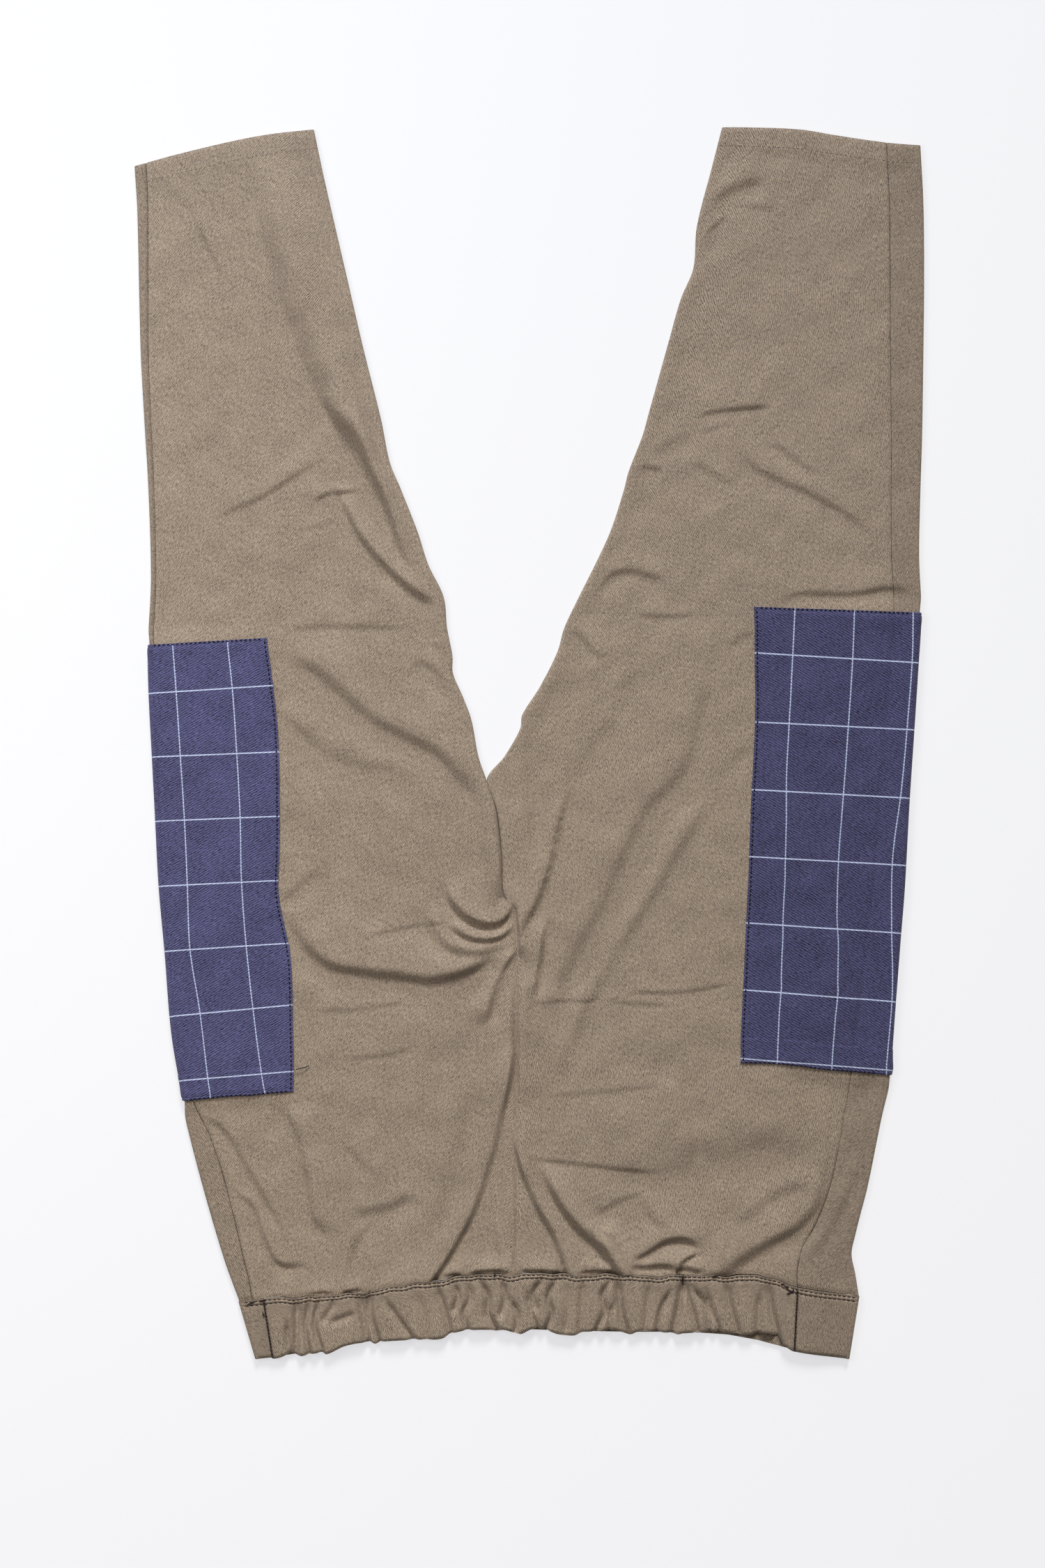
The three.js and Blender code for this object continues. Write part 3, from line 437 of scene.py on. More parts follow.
def step_profile(t, steep, above, below, sunk):
    """Cross-section of a crease: a steep slope between a side that dies out high and one low."""
    top = (1 - sunk) * dip(np.maximum(t - steep, 0), above)
    bottom = -sunk * dip(np.minimum(t + steep, 0), below)
    foot = FOOT * dip(t + steep, steep)
    return mix(bottom, top, smooth((t + steep) / (2 * steep))) - foot


def valley_profile(t, floor, left, right):
    """Cross-section of a gather: a sharp valley with round sides."""
    width = np.where(t > 0, left, right) * VALLEY_WIDTH
    ridge = VALLEY_RIDGE * dip(np.abs(t) - 2 * width, width)
    return ridge - np.exp(-(np.hypot(t, floor) - floor) / width)


def seat_path(path, run):
    """The stretch of a gather that runs on past the waist seam into the seat."""
    start, then = np.array(path[0], float), np.array(path[1], float)
    back = (start - then) / np.hypot(*(start - then))
    top = np.array([start[0], waist_seam(start[0]) - SEAT_START])
    return np.array([top, top + back * run / 2, top + back * SEAT_TURN * run])


def creases(xy):
    """Height that all creases together give points of the upper layer."""
    height = np.zeros(len(xy))
    for rise, steep, above, below, sunk, points in CREASES:
        reach = CREASE_REACH * max(above, below) + steep
        close, t, along = near_crease(xy, points, reach)
        height[close] += rise * tapered(along) * step_profile(t, steep, above, below, sunk)
    for rise, half, side, points in TRENCHES:
        close, t, along = near_crease(xy, points, TRENCH_REACH * side)
        ridges = dip(np.maximum(np.abs(t) - 2 * half, 0), side)
        height[close] += rise * tapered(along) * (ridges - (1 + FOOT) * dip(t, half))
    for deep, floor, left, right, run, points in GATHERS:
        if run == 0:
            continue
        reach = GATHER_REACH * max(left, right)
        close, t, along = near_crease(xy, seat_path(points, run), reach)
        fade = (1 - smooth(along)) ** 1.5 * SEAT_SHARE
        height[close] += deep * fade * (valley_profile(t, floor, left, right) + SEAT_LIFT)
    return height


# Slow waves of the cloth between its creases: height, wave length, direction in degrees, phase
WAVES = [(.28, 61, 24, .4), (.24, 47, 103, 1.9), (.2, 83, 151, 2.7), (.13, 29, 68, .9),
         (.11, 23, 131, 3.3)]


def slow_waves(xy):
    """Height that the slow waves give points of the upper layer."""
    height = np.zeros(len(xy))
    for high, length, lean, phase in WAVES:
        angle = math.radians(lean)
        place = xy @ [math.cos(angle), math.sin(angle)]
        bend = xy @ [-math.sin(angle), math.cos(angle)]
        height += high * np.sin(2 * math.pi * place / length + phase + np.sin(bend / length))
    return height


# Legs
def parted(y):
    """0 where the legs are sewn together, 1 where the inner edge is a full fold."""
    return smooth((y - CROTCH_Y) / PARTING)


def inner_fold(turn, high, wall):
    """Radius and reach of the folded inner edge, and how far short of it the front stays."""
    quarter = math.pi / 2
    length = quarter * high
    flat = turn < FLAT_TURN
    partly = turn < quarter
    some = np.maximum(turn, FLAT_TURN)
    full = high / (1 - np.cos(np.maximum(turn, quarter)))
    radius = np.where(partly, length / some, full)
    reach = np.where(flat, length, np.where(partly, radius * np.sin(turn), radius))
    closing = (wall + FOLD_CLEARANCE) * smooth((turn - FLAT_TURN) / (quarter / 4))
    beside_fold = radius - (radius - wall) * np.sin(turn) + FOLD_CLEARANCE
    front_end = np.where(flat, 0, np.where(partly, closing, beside_fold))
    return radius, reach, front_end


def column(values):
    return np.asarray(values, float)[:, None]


def spread(start, end, count):
    """For each row, evenly spaced distances from start to end."""
    return column(start) + column(np.asarray(end, float) - start) * np.linspace(0, 1, count + 1)


def leg_rows(leg, v):
    """What every row of a leg at share v from waist to hem needs."""
    outer_y = mix(leg.waist_y, leg.hem_y, v)
    inner_y = curve(leg.across)(outer_y)
    outer = np.column_stack([curve(leg.outer)(outer_y), outer_y])
    inner = np.column_stack([curve(leg.inner)(inner_y), inner_y])
    inward = inner - outer
    inward /= np.hypot(*inward.T)[:, None]
    past = np.maximum(leg.open_y - outer_y, outer_y - leg.end_y)
    lift = POCKET_LIFT * smooth(1 - past / LIFT_RAMP)
    outer = outer + inward * lift[:, None]
    width = np.hypot(*(inner - outer).T)
    wall = mix(CLOTH, HEM_CLOTH, smooth((outer_y - leg.hem_y + HEM_TURN) / HEM_RAMP + 1))
    open_share = parted(inner_y)
    high = curve(leg.inner_high)(inner_y)
    radius, reach, front_end = inner_fold(math.pi * open_share, high, wall)
    most = width * WIDEST_POCKET
    seam = np.maximum(curve(leg.outseam)(outer_y) - lift, SIDE_RADIUS + 1)
    return SimpleNamespace(
        leg=leg, v=v, outer_y=outer_y, outer=outer, inward=inward, lift=lift, width=width,
        wall=wall, open=open_share, turn=math.pi * open_share, high=high, radius=radius,
        reach=reach, front_end=front_end, seam=seam,
        front_split=np.minimum(leg.pocket_front, most),
        back_split=np.minimum(curve(leg.pocket_back)(outer_y) - lift, most),
    )


def plan(rows, d, seam_line=waist_seam):
    """Plan points of the rows at distances d from the outer edge."""
    leg = rows.leg
    s = d / column(rows.width)
    waist_x = mix(curve(leg.outer)(leg.waist_y), CENTRE_X, s)
    hem_x = mix(curve(leg.outer)(leg.hem_y), curve(leg.inner)(leg.hem_inner_y), s)
    at_waist = seam_line(waist_x) - mix(leg.waist_y, CENTRE_Y[0], s)
    at_hem = curve(leg.hem)(hem_x) - mix(leg.hem_y, leg.hem_inner_y, s)
    v = column(rows.v)
    x = rows.outer[:, :1] + rows.inward[:, :1] * d
    y = rows.outer[:, 1:] + rows.inward[:, 1:] * d
    y = y + (1 - v) ** WAIST_FADE * (at_waist + SEAM_GAP / 2) + v ** HEM_FADE * at_hem
    return x, y


# Sewn-down places of the panels: depth and half width of each groove
SEAM_GROOVE = (0.7, 1.8)
SIDE_GROOVE = (1.0, 1.1)
HEM_GROOVE = (0.06, 1.2)
EDGE_ROLL = (0.5, 1.4)


def sewn(rows, d, x, y):
    """How far seams and the hem's stitching draw the upper layer down."""
    deep, wide = SIDE_GROOVE
    outseam = deep * dip(d - column(rows.seam), wide)
    deep, wide = SEAM_GROOVE
    middle = deep * dip(column(rows.width) - d, wide) * column(1 - rows.open)
    waist = deep * dip(y - waist_seam(x), wide)
    from_hem = column((1 - rows.v) * (rows.leg.hem_y - rows.leg.waist_y))
    deep, wide = HEM_GROOVE
    hem = deep * dip(from_hem - HEM_TURN, wide) - deep / 2 * smooth((HEM_TURN - from_hem) / 3)
    deep, wide = EDGE_ROLL
    return outseam + middle + waist + hem + deep * dip(from_hem, wide)


def upper(rows, d):
    """Plan and height of the upper layer at distances d from the outer edge."""
    x, y = plan(rows, d)
    xy = np.column_stack([x.ravel(), y.ravel()])
    form = (creases(xy) + slow_waves(xy)).reshape(x.shape)
    lift, wall = column(rows.lift), column(rows.wall)
    cover = (column(rows.front_split) + STEP_DOWN + STEP_OVER - d) / STEP_OVER
    beneath = lift * smooth(cover)
    rise = WAIST_RISE * np.exp(-(y - waist_seam(x)) / WAIST_REACH)
    free = LOFT + beneath + rise + form
    resting = resting_on(beneath + 2 * wall + SEAM_GAP, free)
    by_outer = smooth(1 - (d - SIDE_RADIUS) / EDGE_REACH)
    by_inner = column(rows.open) * smooth(1 - (column(rows.width - rows.reach) - d) / EDGE_REACH)
    height = mix(mix(resting, lift + 2 * SIDE_RADIUS, by_outer), column(rows.high), by_inner)
    return x, y, height - sewn(rows, d, x, y)


# Columns of a leg's section: how many steps each stretch has
FINE = SimpleNamespace(under=8, under_pocket=10, side=12, strip=10, beside=58, inner=70, fold=12)
ROW_SPACING = 1.6  # of a leg's rows away from seam and hem


def leg_section(leg, v, steps):
    """Points in order round every row, from the front's inner end to the back's inner end."""
    rows = leg_rows(leg, v)
    parts = []

    def add(x, y, z, away, up):
        parts.append((x, y, z + np.zeros_like(x), away + np.zeros_like(x), up + np.zeros_like(x)))

    d = spread(rows.width - rows.front_end, rows.front_split + STEP_DOWN, steps.under)
    add(*plan(rows, d, front_seam), 0, 0, -1)
    d = spread(rows.front_split, np.full_like(rows.width, SIDE_RADIUS), steps.under_pocket)
    add(*plan(rows, d, front_seam), column(rows.lift), 0, -1)
    angle = np.radians(np.linspace(-90, 90, steps.side + 1)[1:-1])[None, :]
    d = SIDE_RADIUS * (1 - np.cos(angle)) + np.zeros_like(column(rows.width))
    top = column(rows.lift) + SIDE_RADIUS * (1 + np.sin(angle))
    add(*plan(rows, d), top, -np.cos(angle), np.sin(angle))

    strip = spread(np.full_like(rows.width, SIDE_RADIUS), rows.seam - SEAM_GAP / 2, steps.strip)
    outside = spread(rows.seam + SEAM_GAP / 2, rows.back_split, steps.beside)
    fold_start = rows.width - rows.reach
    middle = spread(rows.back_split, fold_start, steps.inner)[:, 1:]
    share = np.linspace(0, 1, steps.fold + 1)[1:]
    angle = column(rows.turn) * share
    flat = column(rows.turn < FLAT_TURN)
    bent_d = column(fold_start) + np.where(flat, column(rows.reach) * share,
                                           column(rows.radius) * np.sin(angle))
    d = np.hstack([strip, outside, middle, bent_d])
    x, y, z = upper(rows, d)
    start = strip.shape[1] + outside.shape[1] + middle.shape[1]
    top = z[:, start - 1:start]
    down = top * (1 - column(rows.radius / rows.high) * (1 - np.cos(angle)))
    bent = smooth(column(rows.turn) / (math.pi / 2))
    z[:, start:] = np.where(flat, z[:, start:], mix(z[:, start:], down, bent))
    away = np.zeros_like(d)
    up = np.ones_like(d)
    away[:, start:] = np.where(flat, 0, np.sin(angle))
    up[:, start:] = np.where(flat, 1, np.cos(angle))
    add(x, y, z, away, up)

    x, y, z, away, up = (np.hstack(values) for values in zip(*parts))
    out = np.dstack([away * rows.inward[:, :1], away * rows.inward[:, 1:], up])
    first = steps.under + 1
    side = first + steps.under_pocket + 1
    seam = side + steps.side - 1 + steps.strip
    return SimpleNamespace(
        rows=rows, at=np.dstack([x, y, z]), out=out, pocket_first=first, side=side, seam=seam,
        pocket_last=seam + 1 + steps.beside,
    )


# Meshes
SHARP_ANGLE = 60


def run_across(points):
    """Distance of every point from its row's first one, measured along the row."""
    steps = np.linalg.norm(np.diff(points, axis=1), axis=2)
    return np.hstack([np.zeros((len(points), 1)), np.cumsum(steps, axis=1)])


def grid_faces(rows, columns, first, flip):
    """Faces of a grid of points whose first has the index `first`."""
    r, c = np.meshgrid(np.arange(rows - 1), np.arange(columns - 1), indexing="ij")
    a = first + (r * columns + c).ravel()
    quads = np.column_stack([a, a + 1, a + columns + 1, a + columns])
    return quads[:, ::-1] if flip else quads


def every_other(count):
    """Every other index, and always the last one."""
    return np.unique(np.append(np.arange(0, count, 2), count - 1))


def border(rows, columns):
    """Indexes round the edge of a grid, in order."""
    r, c = every_other(rows), every_other(columns)
    return [*((0, j) for j in c[:-1]), *((i, columns - 1) for i in r[:-1]),
            *((rows - 1, j) for j in c[:0:-1]), *((i, 0) for i in r[:0:-1])]


def rim_faces(rows, columns, flip):
    """Faces that join the edges of the fine outer face to those of the coarser inner one."""
    row_at = {i: n for n, i in enumerate(every_other(rows))}
    column_at = {j: n for n, j in enumerate(every_other(columns))}
    around = border(rows, columns)
    faces = []
    for (r, c), (next_r, next_c) in zip(around, around[1:] + around[:1]):
        fine = [r * columns + c, next_r * columns + next_c]
        if abs(next_r - r) + abs(next_c - c) == 2:
            fine.insert(1, (r + next_r) // 2 * columns + (c + next_c) // 2)
        coarse = [rows * columns + row_at[i] * len(column_at) + column_at[j]
                  for i, j in ((r, c), (next_r, next_c))]
        face = fine[::-1] + coarse
        faces.append([int(i) for i in (face[::-1] if flip else face)])
    return faces


def add_object(name, data):
    thing = bpy.data.objects.new(name, data)
    bpy.context.collection.objects.link(thing)
    return thing


def new_piece(name, points, faces, material, weave=None, check=None):
    """An object from points in millimetres, with its cloth coordinates as UV maps."""
    mesh = bpy.data.meshes.new(name)
    mesh.from_pydata((points * MM).tolist(), [], faces)
    mesh.polygons.foreach_set("use_smooth", np.ones(len(faces), bool))
    corners = np.empty(len(mesh.loops), np.int32)
    mesh.loops.foreach_get("vertex_index", corners)
    for layer_name, values in (("weave", weave), ("check", check)):
        if values is not None:
            layer = mesh.uv_layers.new(name=layer_name)
            layer.data.foreach_set("uv", values[corners].astype(np.float32).ravel())
    mesh.materials.append(material)
    mesh.update()
    mesh.set_sharp_from_angle(angle=math.radians(SHARP_ANGLE))
    piece = add_object(name, mesh)
    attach(piece, "root")
    return piece


def cloth_coordinates(at, hinge=None):
    """Distances along the cloth, equal to x in column `hinge` and to y in the middle row."""
    u = run_across(at)
    v = run_across(np.swapaxes(at, 0, 1)).T
    middle = at.shape[1] // 2 if hinge is None else hinge
    u = u - u[:, middle:middle + 1] + at[:, middle:middle + 1, 0]
    v = v - v[len(at) // 2] + at[len(at) // 2, :, 1]
    return u, v


def cloth_wall(name, outer, inner, flip, material, check=None, hinge=None):
    """A closed wall of cloth: a fine outer face and, half as fine, the hidden inner one."""
    rows, columns = outer.shape[:2]
    keep = np.ix_(every_other(rows), every_other(columns))
    kept = inner[keep]
    points = np.vstack([outer.reshape(-1, 3), kept.reshape(-1, 3)])
    faces = [
        *grid_faces(rows, columns, 0, flip).tolist(),
        *grid_faces(*kept.shape[:2], rows * columns, not flip).tolist(),
        *rim_faces(rows, columns, flip),
    ]
    u, v = cloth_coordinates(outer, hinge)
    weave = np.dstack([u, v])
    weave = np.vstack([weave.reshape(-1, 2), weave[keep].reshape(-1, 2)])
    if check is not None:
        check = np.vstack([check.reshape(-1, 2), check[keep].reshape(-1, 2)])
    return new_piece(name, points, faces, material, weave, check)


def leg_shares(leg):
    """Shares from waist to hem, closer together at the seam and at the hem's stitching."""
    length = leg.hem_y - leg.waist_y
    near_seam = np.array([0, .7, 1.4, 2.2, 3.2, 4.6])
    near_hem = length - np.array([16, 15, 14.2, 13.5, 12.8, 12.1, 11.2, 9, 6.6, 4.2, 2.2, 1, .4, 0])
    between = np.arange(6.8, near_hem[0] - 1, ROW_SPACING)
    return np.concatenate([near_seam, between, near_hem]) / length


def make_leg_panels(leg, material, strip_material):
    section = leg_section(leg, leg_shares(leg), FINE)
    inner = section.at - section.out * column(section.rows.wall)[..., None]
    flip = leg.side > 0
    seam = section.seam
    front = slice(0, seam + 1)
    back = slice(seam + 1, None)
    front_piece = cloth_wall(f"front_leg_{leg.name}_cloth", section.at[:, front],
                             inner[:, front], flip, strip_material, hinge=seam)
    back_piece = cloth_wall(f"back_leg_{leg.name}_cloth", section.at[:, back],
                            inner[:, back], flip, material)
    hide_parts(f"front_leg_{leg.name}")
    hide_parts(f"back_leg_{leg.name}")
    return front_piece, back_piece, section


# Patch pockets
FINE_POCKET = SimpleNamespace(under=1, under_pocket=40, side=12, strip=6, beside=46, inner=2,
                              fold=2)
POCKET_HEM = 19  # depth of the turned opening hem
EDGE_STITCH = 1.9  # distance of the edge stitching from the edge
OPEN_STITCH = 0.9  # distance of the stitching at the pocket's ends from the edge
# The pocket's edge and its stitching as depth and half width, the puffed cloth inside them as
# height, distance from the edge and half width, and the step at the opening hem as height, half
# width, and depth and half width of the groove below it
POCKET_ROLL = (0.45, 0.6)
POCKET_STITCHES = (0.35, 0.5)
POCKET_PUFF = (0.35, 5, 4)
POCKET_STEP = (0.3, 0.6)
POCKET_STEP_GROOVE = (0.1, 0.8)
POCKET_DEEPEST = 0.6

CHECK_DOWN = {
    "right": [(-260.5, -237.1, -196.0), (-246, -239.2, -198.6), (-199, -244.9, -204.9),
              (-153, -252.2, -210.1), (-104, -254.3, -213.7), (-57, -256.4, -214.8),
              (-8, -259.5, -217.4), (39, -262.6, -220.5), (74, -265.2, -224.1)],
    "left": [(-239, 224.6, 183.6), (-184, 227.8, 185.6), (-134, 228.3, 187.2),
             (-84, 229.8, 189.3), (-34, 233.5, 190.3), (16, 237.1, 192.9), (65, 240.2, 195.5),
             (101, 241.3, 197.1)],
}
CHECK_ACROSS = {
    "right": [(-243.4, -250.1), (-194, -202.3), (-148.2, -153.9), (-101.4, -105.6),
              (-53.6, -57.2), (-5.7, -9.4), (43.7, 38)],
    "left": [(-234, -242.3), (-183, -191.4), (-133.1, -140.4), (-83.7, -90), (-33.8, -40),
             (16.6, 10.9), (68.1, 60.8)],
}


def extended(places, known):
    """Piecewise straight values 0, 1, 2... at known places, carried on past both ends."""
    known = np.array(known, float)
    order = np.arange(len(known))
    if known[0] > known[-1]:
        known, order = known[::-1], order[::-1]
    value = np.interp(places, known, order)
    step = np.diff(order)[0]
    low = order[0] + step * (places - known[0]) / (known[1] - known[0])
    high = order[-1] + step * (places - known[-1]) / (known[-1] - known[-2])
    value = np.where(places < known[0], low, value)
    return np.where(places > known[-1], high, value)


def check_coordinates(leg, at, hinge):
    """UV in panes: a whole number on every line of the check."""
    outer_x = at[:, hinge, 0][:, None]
    u = run_across(at)
    from_hinge = u - u[:, hinge:hinge + 1]
    x = outer_x - leg.side * from_hinge
    y = at[:, hinge, 1][:, None] + (at[..., 1] - at[:, hinge, 1][:, None]) * (from_hinge > 0)
    down = CHECK_DOWN[leg.name]
    first, second = curve(down, 1)(y), curve(down, 2)(y)
    panes = (x - first) / (second - first)
    inner = extended(y, [row[0] for row in CHECK_ACROSS[leg.name]])
    outer = extended(y, [row[1] for row in CHECK_ACROSS[leg.name]])
    width = at[:, -1, 0][:, None] - outer_x
    rows = mix(outer, inner, np.clip((x - outer_x) / width, -1, 1))
    return np.dstack([panes, rows])


def pocket_shares(leg):
    """Shares over the pocket's length, closer together at its edges and its opening hem."""
    length = leg.hem_y - leg.waist_y
    edge = np.array([0, .3, .7, 1.2, 1.6, 2.2, 3, 4.4])
    fold = leg.open_y + POCKET_HEM + np.array([-2, -1, -.5, 0, .5, 1, 2])
    y = np.concatenate([
        leg.open_y + edge,
        np.arange(leg.open_y + 6.4, fold[0] - 1, 2.2),
        fold,
        np.arange(fold[-1] + 2, leg.end_y - 5, 2.3),
        leg.end_y - edge[::-1],
    ])
    return (y - leg.waist_y) / length


def pocket_form(from_open, from_end, from_side):
    """Height that edges, stitching and the opening hem give the pocket's face."""
    edge = np.minimum(np.minimum(from_open, from_end), from_side)
    grooves = ((edge, POCKET_ROLL), (edge - EDGE_STITCH, POCKET_STITCHES),
               (from_open - POCKET_HEM, POCKET_STEP_GROOVE))
    high, inside, wide = POCKET_PUFF
    form = high * dip(edge - inside, wide)
    high, wide = POCKET_STEP
    form += high * smooth((POCKET_HEM + wide - from_open) / (2 * wide))
    for away, (deep, half) in grooves:
        form = form - deep * dip(away, half)
    return form


def make_pocket(leg, material):
    v = pocket_shares(leg)
    section = leg_section(leg, v, FINE_POCKET)
    part = slice(section.pocket_first, section.pocket_last + 1)
    at, out = section.at[:, part], section.out[:, part]
    hinge = section.side - section.pocket_first + FINE_POCKET.side - 1
    y = column(section.rows.outer_y)
    u = run_across(at)
    form = pocket_form(y - leg.open_y, leg.end_y - y, u[:, -1:] - u)
    # The form dies out round the folded side, where the cloth starts to face down
    shown = smooth((out[..., 2] + .3) / .6)
    raised = POCKET_LIFT + np.maximum(form, -POCKET_DEEPEST) * shown
    outer = at + out * raised[..., None]
    inner = at + out * SEAM_GAP
    flip = leg.side > 0
    check = check_coordinates(leg, outer, hinge)
    name = f"patch_pocket_{leg.name}_cloth"
    piece = cloth_wall(name, outer, inner, flip, material, check, hinge)
    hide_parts(f"patch_pocket_{leg.name}")
    return piece, outer, v


# Waistband: height, rows of stitching measured from the seam, grooves as depth and half width,
# the roll between the rows as height and half width, and the turned upper edge as depth and the
# share of the height that it starts at
BAND_HEIGHT = 46
BAND_ROWS_AT = (1.3, 4.0)
BAND_ROW_GROOVE = (0.5, 0.55)
BAND_ROLL = (0.25, 0.9)
BAND_TURN = (1.6, 0.93)
CASING_GROOVE = (0.8, 1.2)
BAND_SHARES = np.concatenate([
    [0, .012, .024, .036, .048, .06, .072, .085, .1, .12], np.arange(.16, .92, .045),
    [.93, .955, .975, .99, 1],
])
BACK_BAND_COLUMNS = 421
FRONT_BAND_COLUMNS = SimpleNamespace(top=17, turn=11, under=41)


def band_gathers(x, y):
    """Depth of the gathers at points of the band."""
    xy = np.column_stack([x.ravel(), y.ravel()])
    depth = np.zeros(len(xy))
    for deep, floor, left, right, _, points in GATHERS:
        close, t, along = near_crease(xy, points, GATHER_REACH * max(left, right))
        grown = mix(GATHER_START, 1, smooth(along / GATHER_GROWTH))
        depth[close] += GATHER_DEPTH * deep * grown * valley_profile(t, floor, left, right)
    return depth.reshape(x.shape)


def band_rows(share):
    """What the band's stitch rows and its folded edge do to its face."""
    from_seam = share * BAND_HEIGHT
    deep, wide = BAND_ROW_GROOVE
    rows = sum(deep * dip(from_seam - at, wide) for at in BAND_ROWS_AT)
    high, wide = BAND_ROLL
    roll = high * dip(from_seam - sum(BAND_ROWS_AT) / 2, wide)
    deep, start = BAND_TURN
    return roll - rows - deep * smooth((share - start) / (1 - start)) ** 2


def band_ends(share):
    """x of the band's right and left end at a share from seam to edge."""
    return mix(*BAND_ENDS["right"], share), mix(*BAND_ENDS["left"], share)


def band_y(share, x, edge, seam_line=waist_seam):
    """y of the band at shares from seam to edge and places x."""
    right, left = band_ends(share)
    s = (x - right) / (left - right)
    seam_x, edge_x = (mix(*ends, s) for ends in zip(BAND_ENDS["right"], BAND_ENDS["left"]))
    return mix(seam_line(seam_x) - SEAM_GAP / 2, edge(edge_x), share)


def band_surface(share, x, edge):
    """Points of the band's upper face at shares from seam to edge and places x."""
    w, x = np.broadcast_arrays(share, x)
    right, left = band_ends(w)
    y = band_y(w, x, edge)
    gathers = band_gathers(x, y)
    inside = np.minimum(x - right - BAND_RADIUS, left - BAND_RADIUS - x)
    flat = smooth(1 - inside / BAND_END_REACH)
    face = mix(resting_on(BAND_FLOOR, BAND_LOFT + gathers), 2 * BAND_RADIUS, flat)
    scallop = SCALLOP * w ** 3 * np.clip(gathers, -SCALLOP_DEEPEST, 0) * (1 - flat)
    z = face + band_rows(w) * smooth(inside / 4 + 1)
    return x, y - scallop, z


def make_back_band(material):
    w = column(BAND_SHARES)
    start = mix(*CASING["right"], w) + SEAM_GAP / 2
    end = mix(*CASING["left"], w) - SEAM_GAP / 2
    x = start + (end - start) * np.linspace(0, 1, BACK_BAND_COLUMNS)
    x, y, z = band_surface(w, x, curve(BACK_EDGE))
    deep, wide = CASING_GROOVE
    z = z - deep * dip(x - start, wide) - deep * dip(x - end, wide)
    outer = np.dstack([x, y, z])
    inner = np.dstack([x, y, np.maximum(z - BAND_CLOTH, BAND_CLOTH + SEAM_GAP)])
    piece = cloth_wall("waistband_back_cloth", outer, inner, True, material)
    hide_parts("waistband_back")
    return piece


def make_front_band(material):
    w = column(BAND_SHARES)
    edge = curve(FRONT_EDGE)
    right, left = band_ends(w)
    parts = []

    def add_top(start, end):
        x = start + (end - start) * np.linspace(0, 1, FRONT_BAND_COLUMNS.top)
        x, y, z = band_surface(w, x, edge)
        parts.append(np.dstack([x, y, z, np.zeros_like(x), np.ones_like(x)]))

    def add_low(x, z, away, up, seam_line=waist_seam):
        x, z, away, up = np.broadcast_arrays(x, z, away, up)
        parts.append(np.dstack([x, band_y(w, x, edge, seam_line), z, away, up]))

    add_top(mix(*CASING["right"], w) - SEAM_GAP / 2, right + BAND_RADIUS)
    angle = np.radians(np.linspace(90, -90, FRONT_BAND_COLUMNS.turn)[1:-1])[None, :]
    add_low(right + BAND_RADIUS * (1 - np.cos(angle)), BAND_RADIUS * (1 + np.sin(angle)),
            -np.cos(angle), np.sin(angle))
    across = (left - right - 2 * BAND_RADIUS) * np.linspace(0, 1, FRONT_BAND_COLUMNS.under)
    add_low(right + BAND_RADIUS + across, 0, 0, -1, front_seam)
    angle = -angle
    add_low(left - BAND_RADIUS * (1 - np.cos(angle)), BAND_RADIUS * (1 + np.sin(angle)),
            np.cos(angle), np.sin(angle))
    add_top(left - BAND_RADIUS, mix(*CASING["left"], w) + SEAM_GAP / 2)
    grid = np.concatenate(parts, axis=1)
    outer = grid[..., :3]
    out = np.dstack([grid[..., 3], np.zeros(grid.shape[:2]), grid[..., 4]])
    inner = outer - out * BAND_CLOTH
    piece = cloth_wall("waistband_front_cloth", outer, inner, False, material)
    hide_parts("waistband_front")
    return piece


# Materials
class Nodes:
    """Short names for the shader nodes that the materials share."""

    def __init__(self, name):
        self.material = bpy.data.materials.new(name)
        self.material.use_nodes = True
        self.tree = self.material.node_tree
        self.shader = self.tree.nodes["Principled BSDF"]

    def link(self, value, socket):
        if isinstance(value, bpy.types.NodeSocket):
            self.tree.links.new(value, socket)
        else:
            socket.default_value = value

    def add(self, kind, **settings):
        node = self.tree.nodes.new(kind)
        for key, value in settings.items():
            setattr(node, key, value)
        return node

    def math(self, operation, *values):
        node = self.add("ShaderNodeMath", operation=operation)
        for value, socket in zip(values, node.inputs):
            self.link(value, socket)
        return node.outputs[0]

    def uv(self, name):
        node = self.add("ShaderNodeUVMap", uv_map=name)
        parts = self.add("ShaderNodeSeparateXYZ")
        self.link(node.outputs["UV"], parts.inputs[0])
        return parts.outputs["X"], parts.outputs["Y"]

    def noise(self, x, y, detail, scale, seed):
        place = self.add("ShaderNodeCombineXYZ")
        self.link(x, place.inputs["X"])
        self.link(y, place.inputs["Y"])
        place.inputs["Z"].default_value = seed
        node = self.add("ShaderNodeTexNoise")
        self.link(place.outputs[0], node.inputs["Vector"])
        node.inputs["Scale"].default_value = scale
        node.inputs["Detail"].default_value = detail
        return self.math("SUBTRACT", node.outputs["Fac"], 0.5)

    def weighted(self, *pairs):
        """Sum of values, each times its weight."""
        total = 0.0
        for value, weight in pairs:
            total = self.math("MULTIPLY_ADD", value, weight, total)
        return total

    def tinted(self, color, amount):
        """A colour made lighter or darker by an amount round 0."""
        node = self.add("ShaderNodeVectorMath", operation="SCALE")
        self.link(color, node.inputs[0])
        self.link(self.math("ADD", amount, 1.0), node.inputs["Scale"])
        return node.outputs[0]

    def bump(self, height, strength, distance):
        node = self.add("ShaderNodeBump")
        node.inputs["Strength"].default_value = strength
        node.inputs["Distance"].default_value = distance
        self.link(height, node.inputs["Height"])
        self.link(node.outputs["Normal"], self.shader.inputs["Normal"])

    def finish(self, roughness, sheen):
        self.shader.inputs["Roughness"].default_value = roughness
        self.shader.inputs["Sheen Weight"].default_value = sheen
        self.shader.inputs["Sheen Roughness"].default_value = 0.5
        self.shader.inputs["Specular IOR Level"].default_value = 0.2
        return self.material


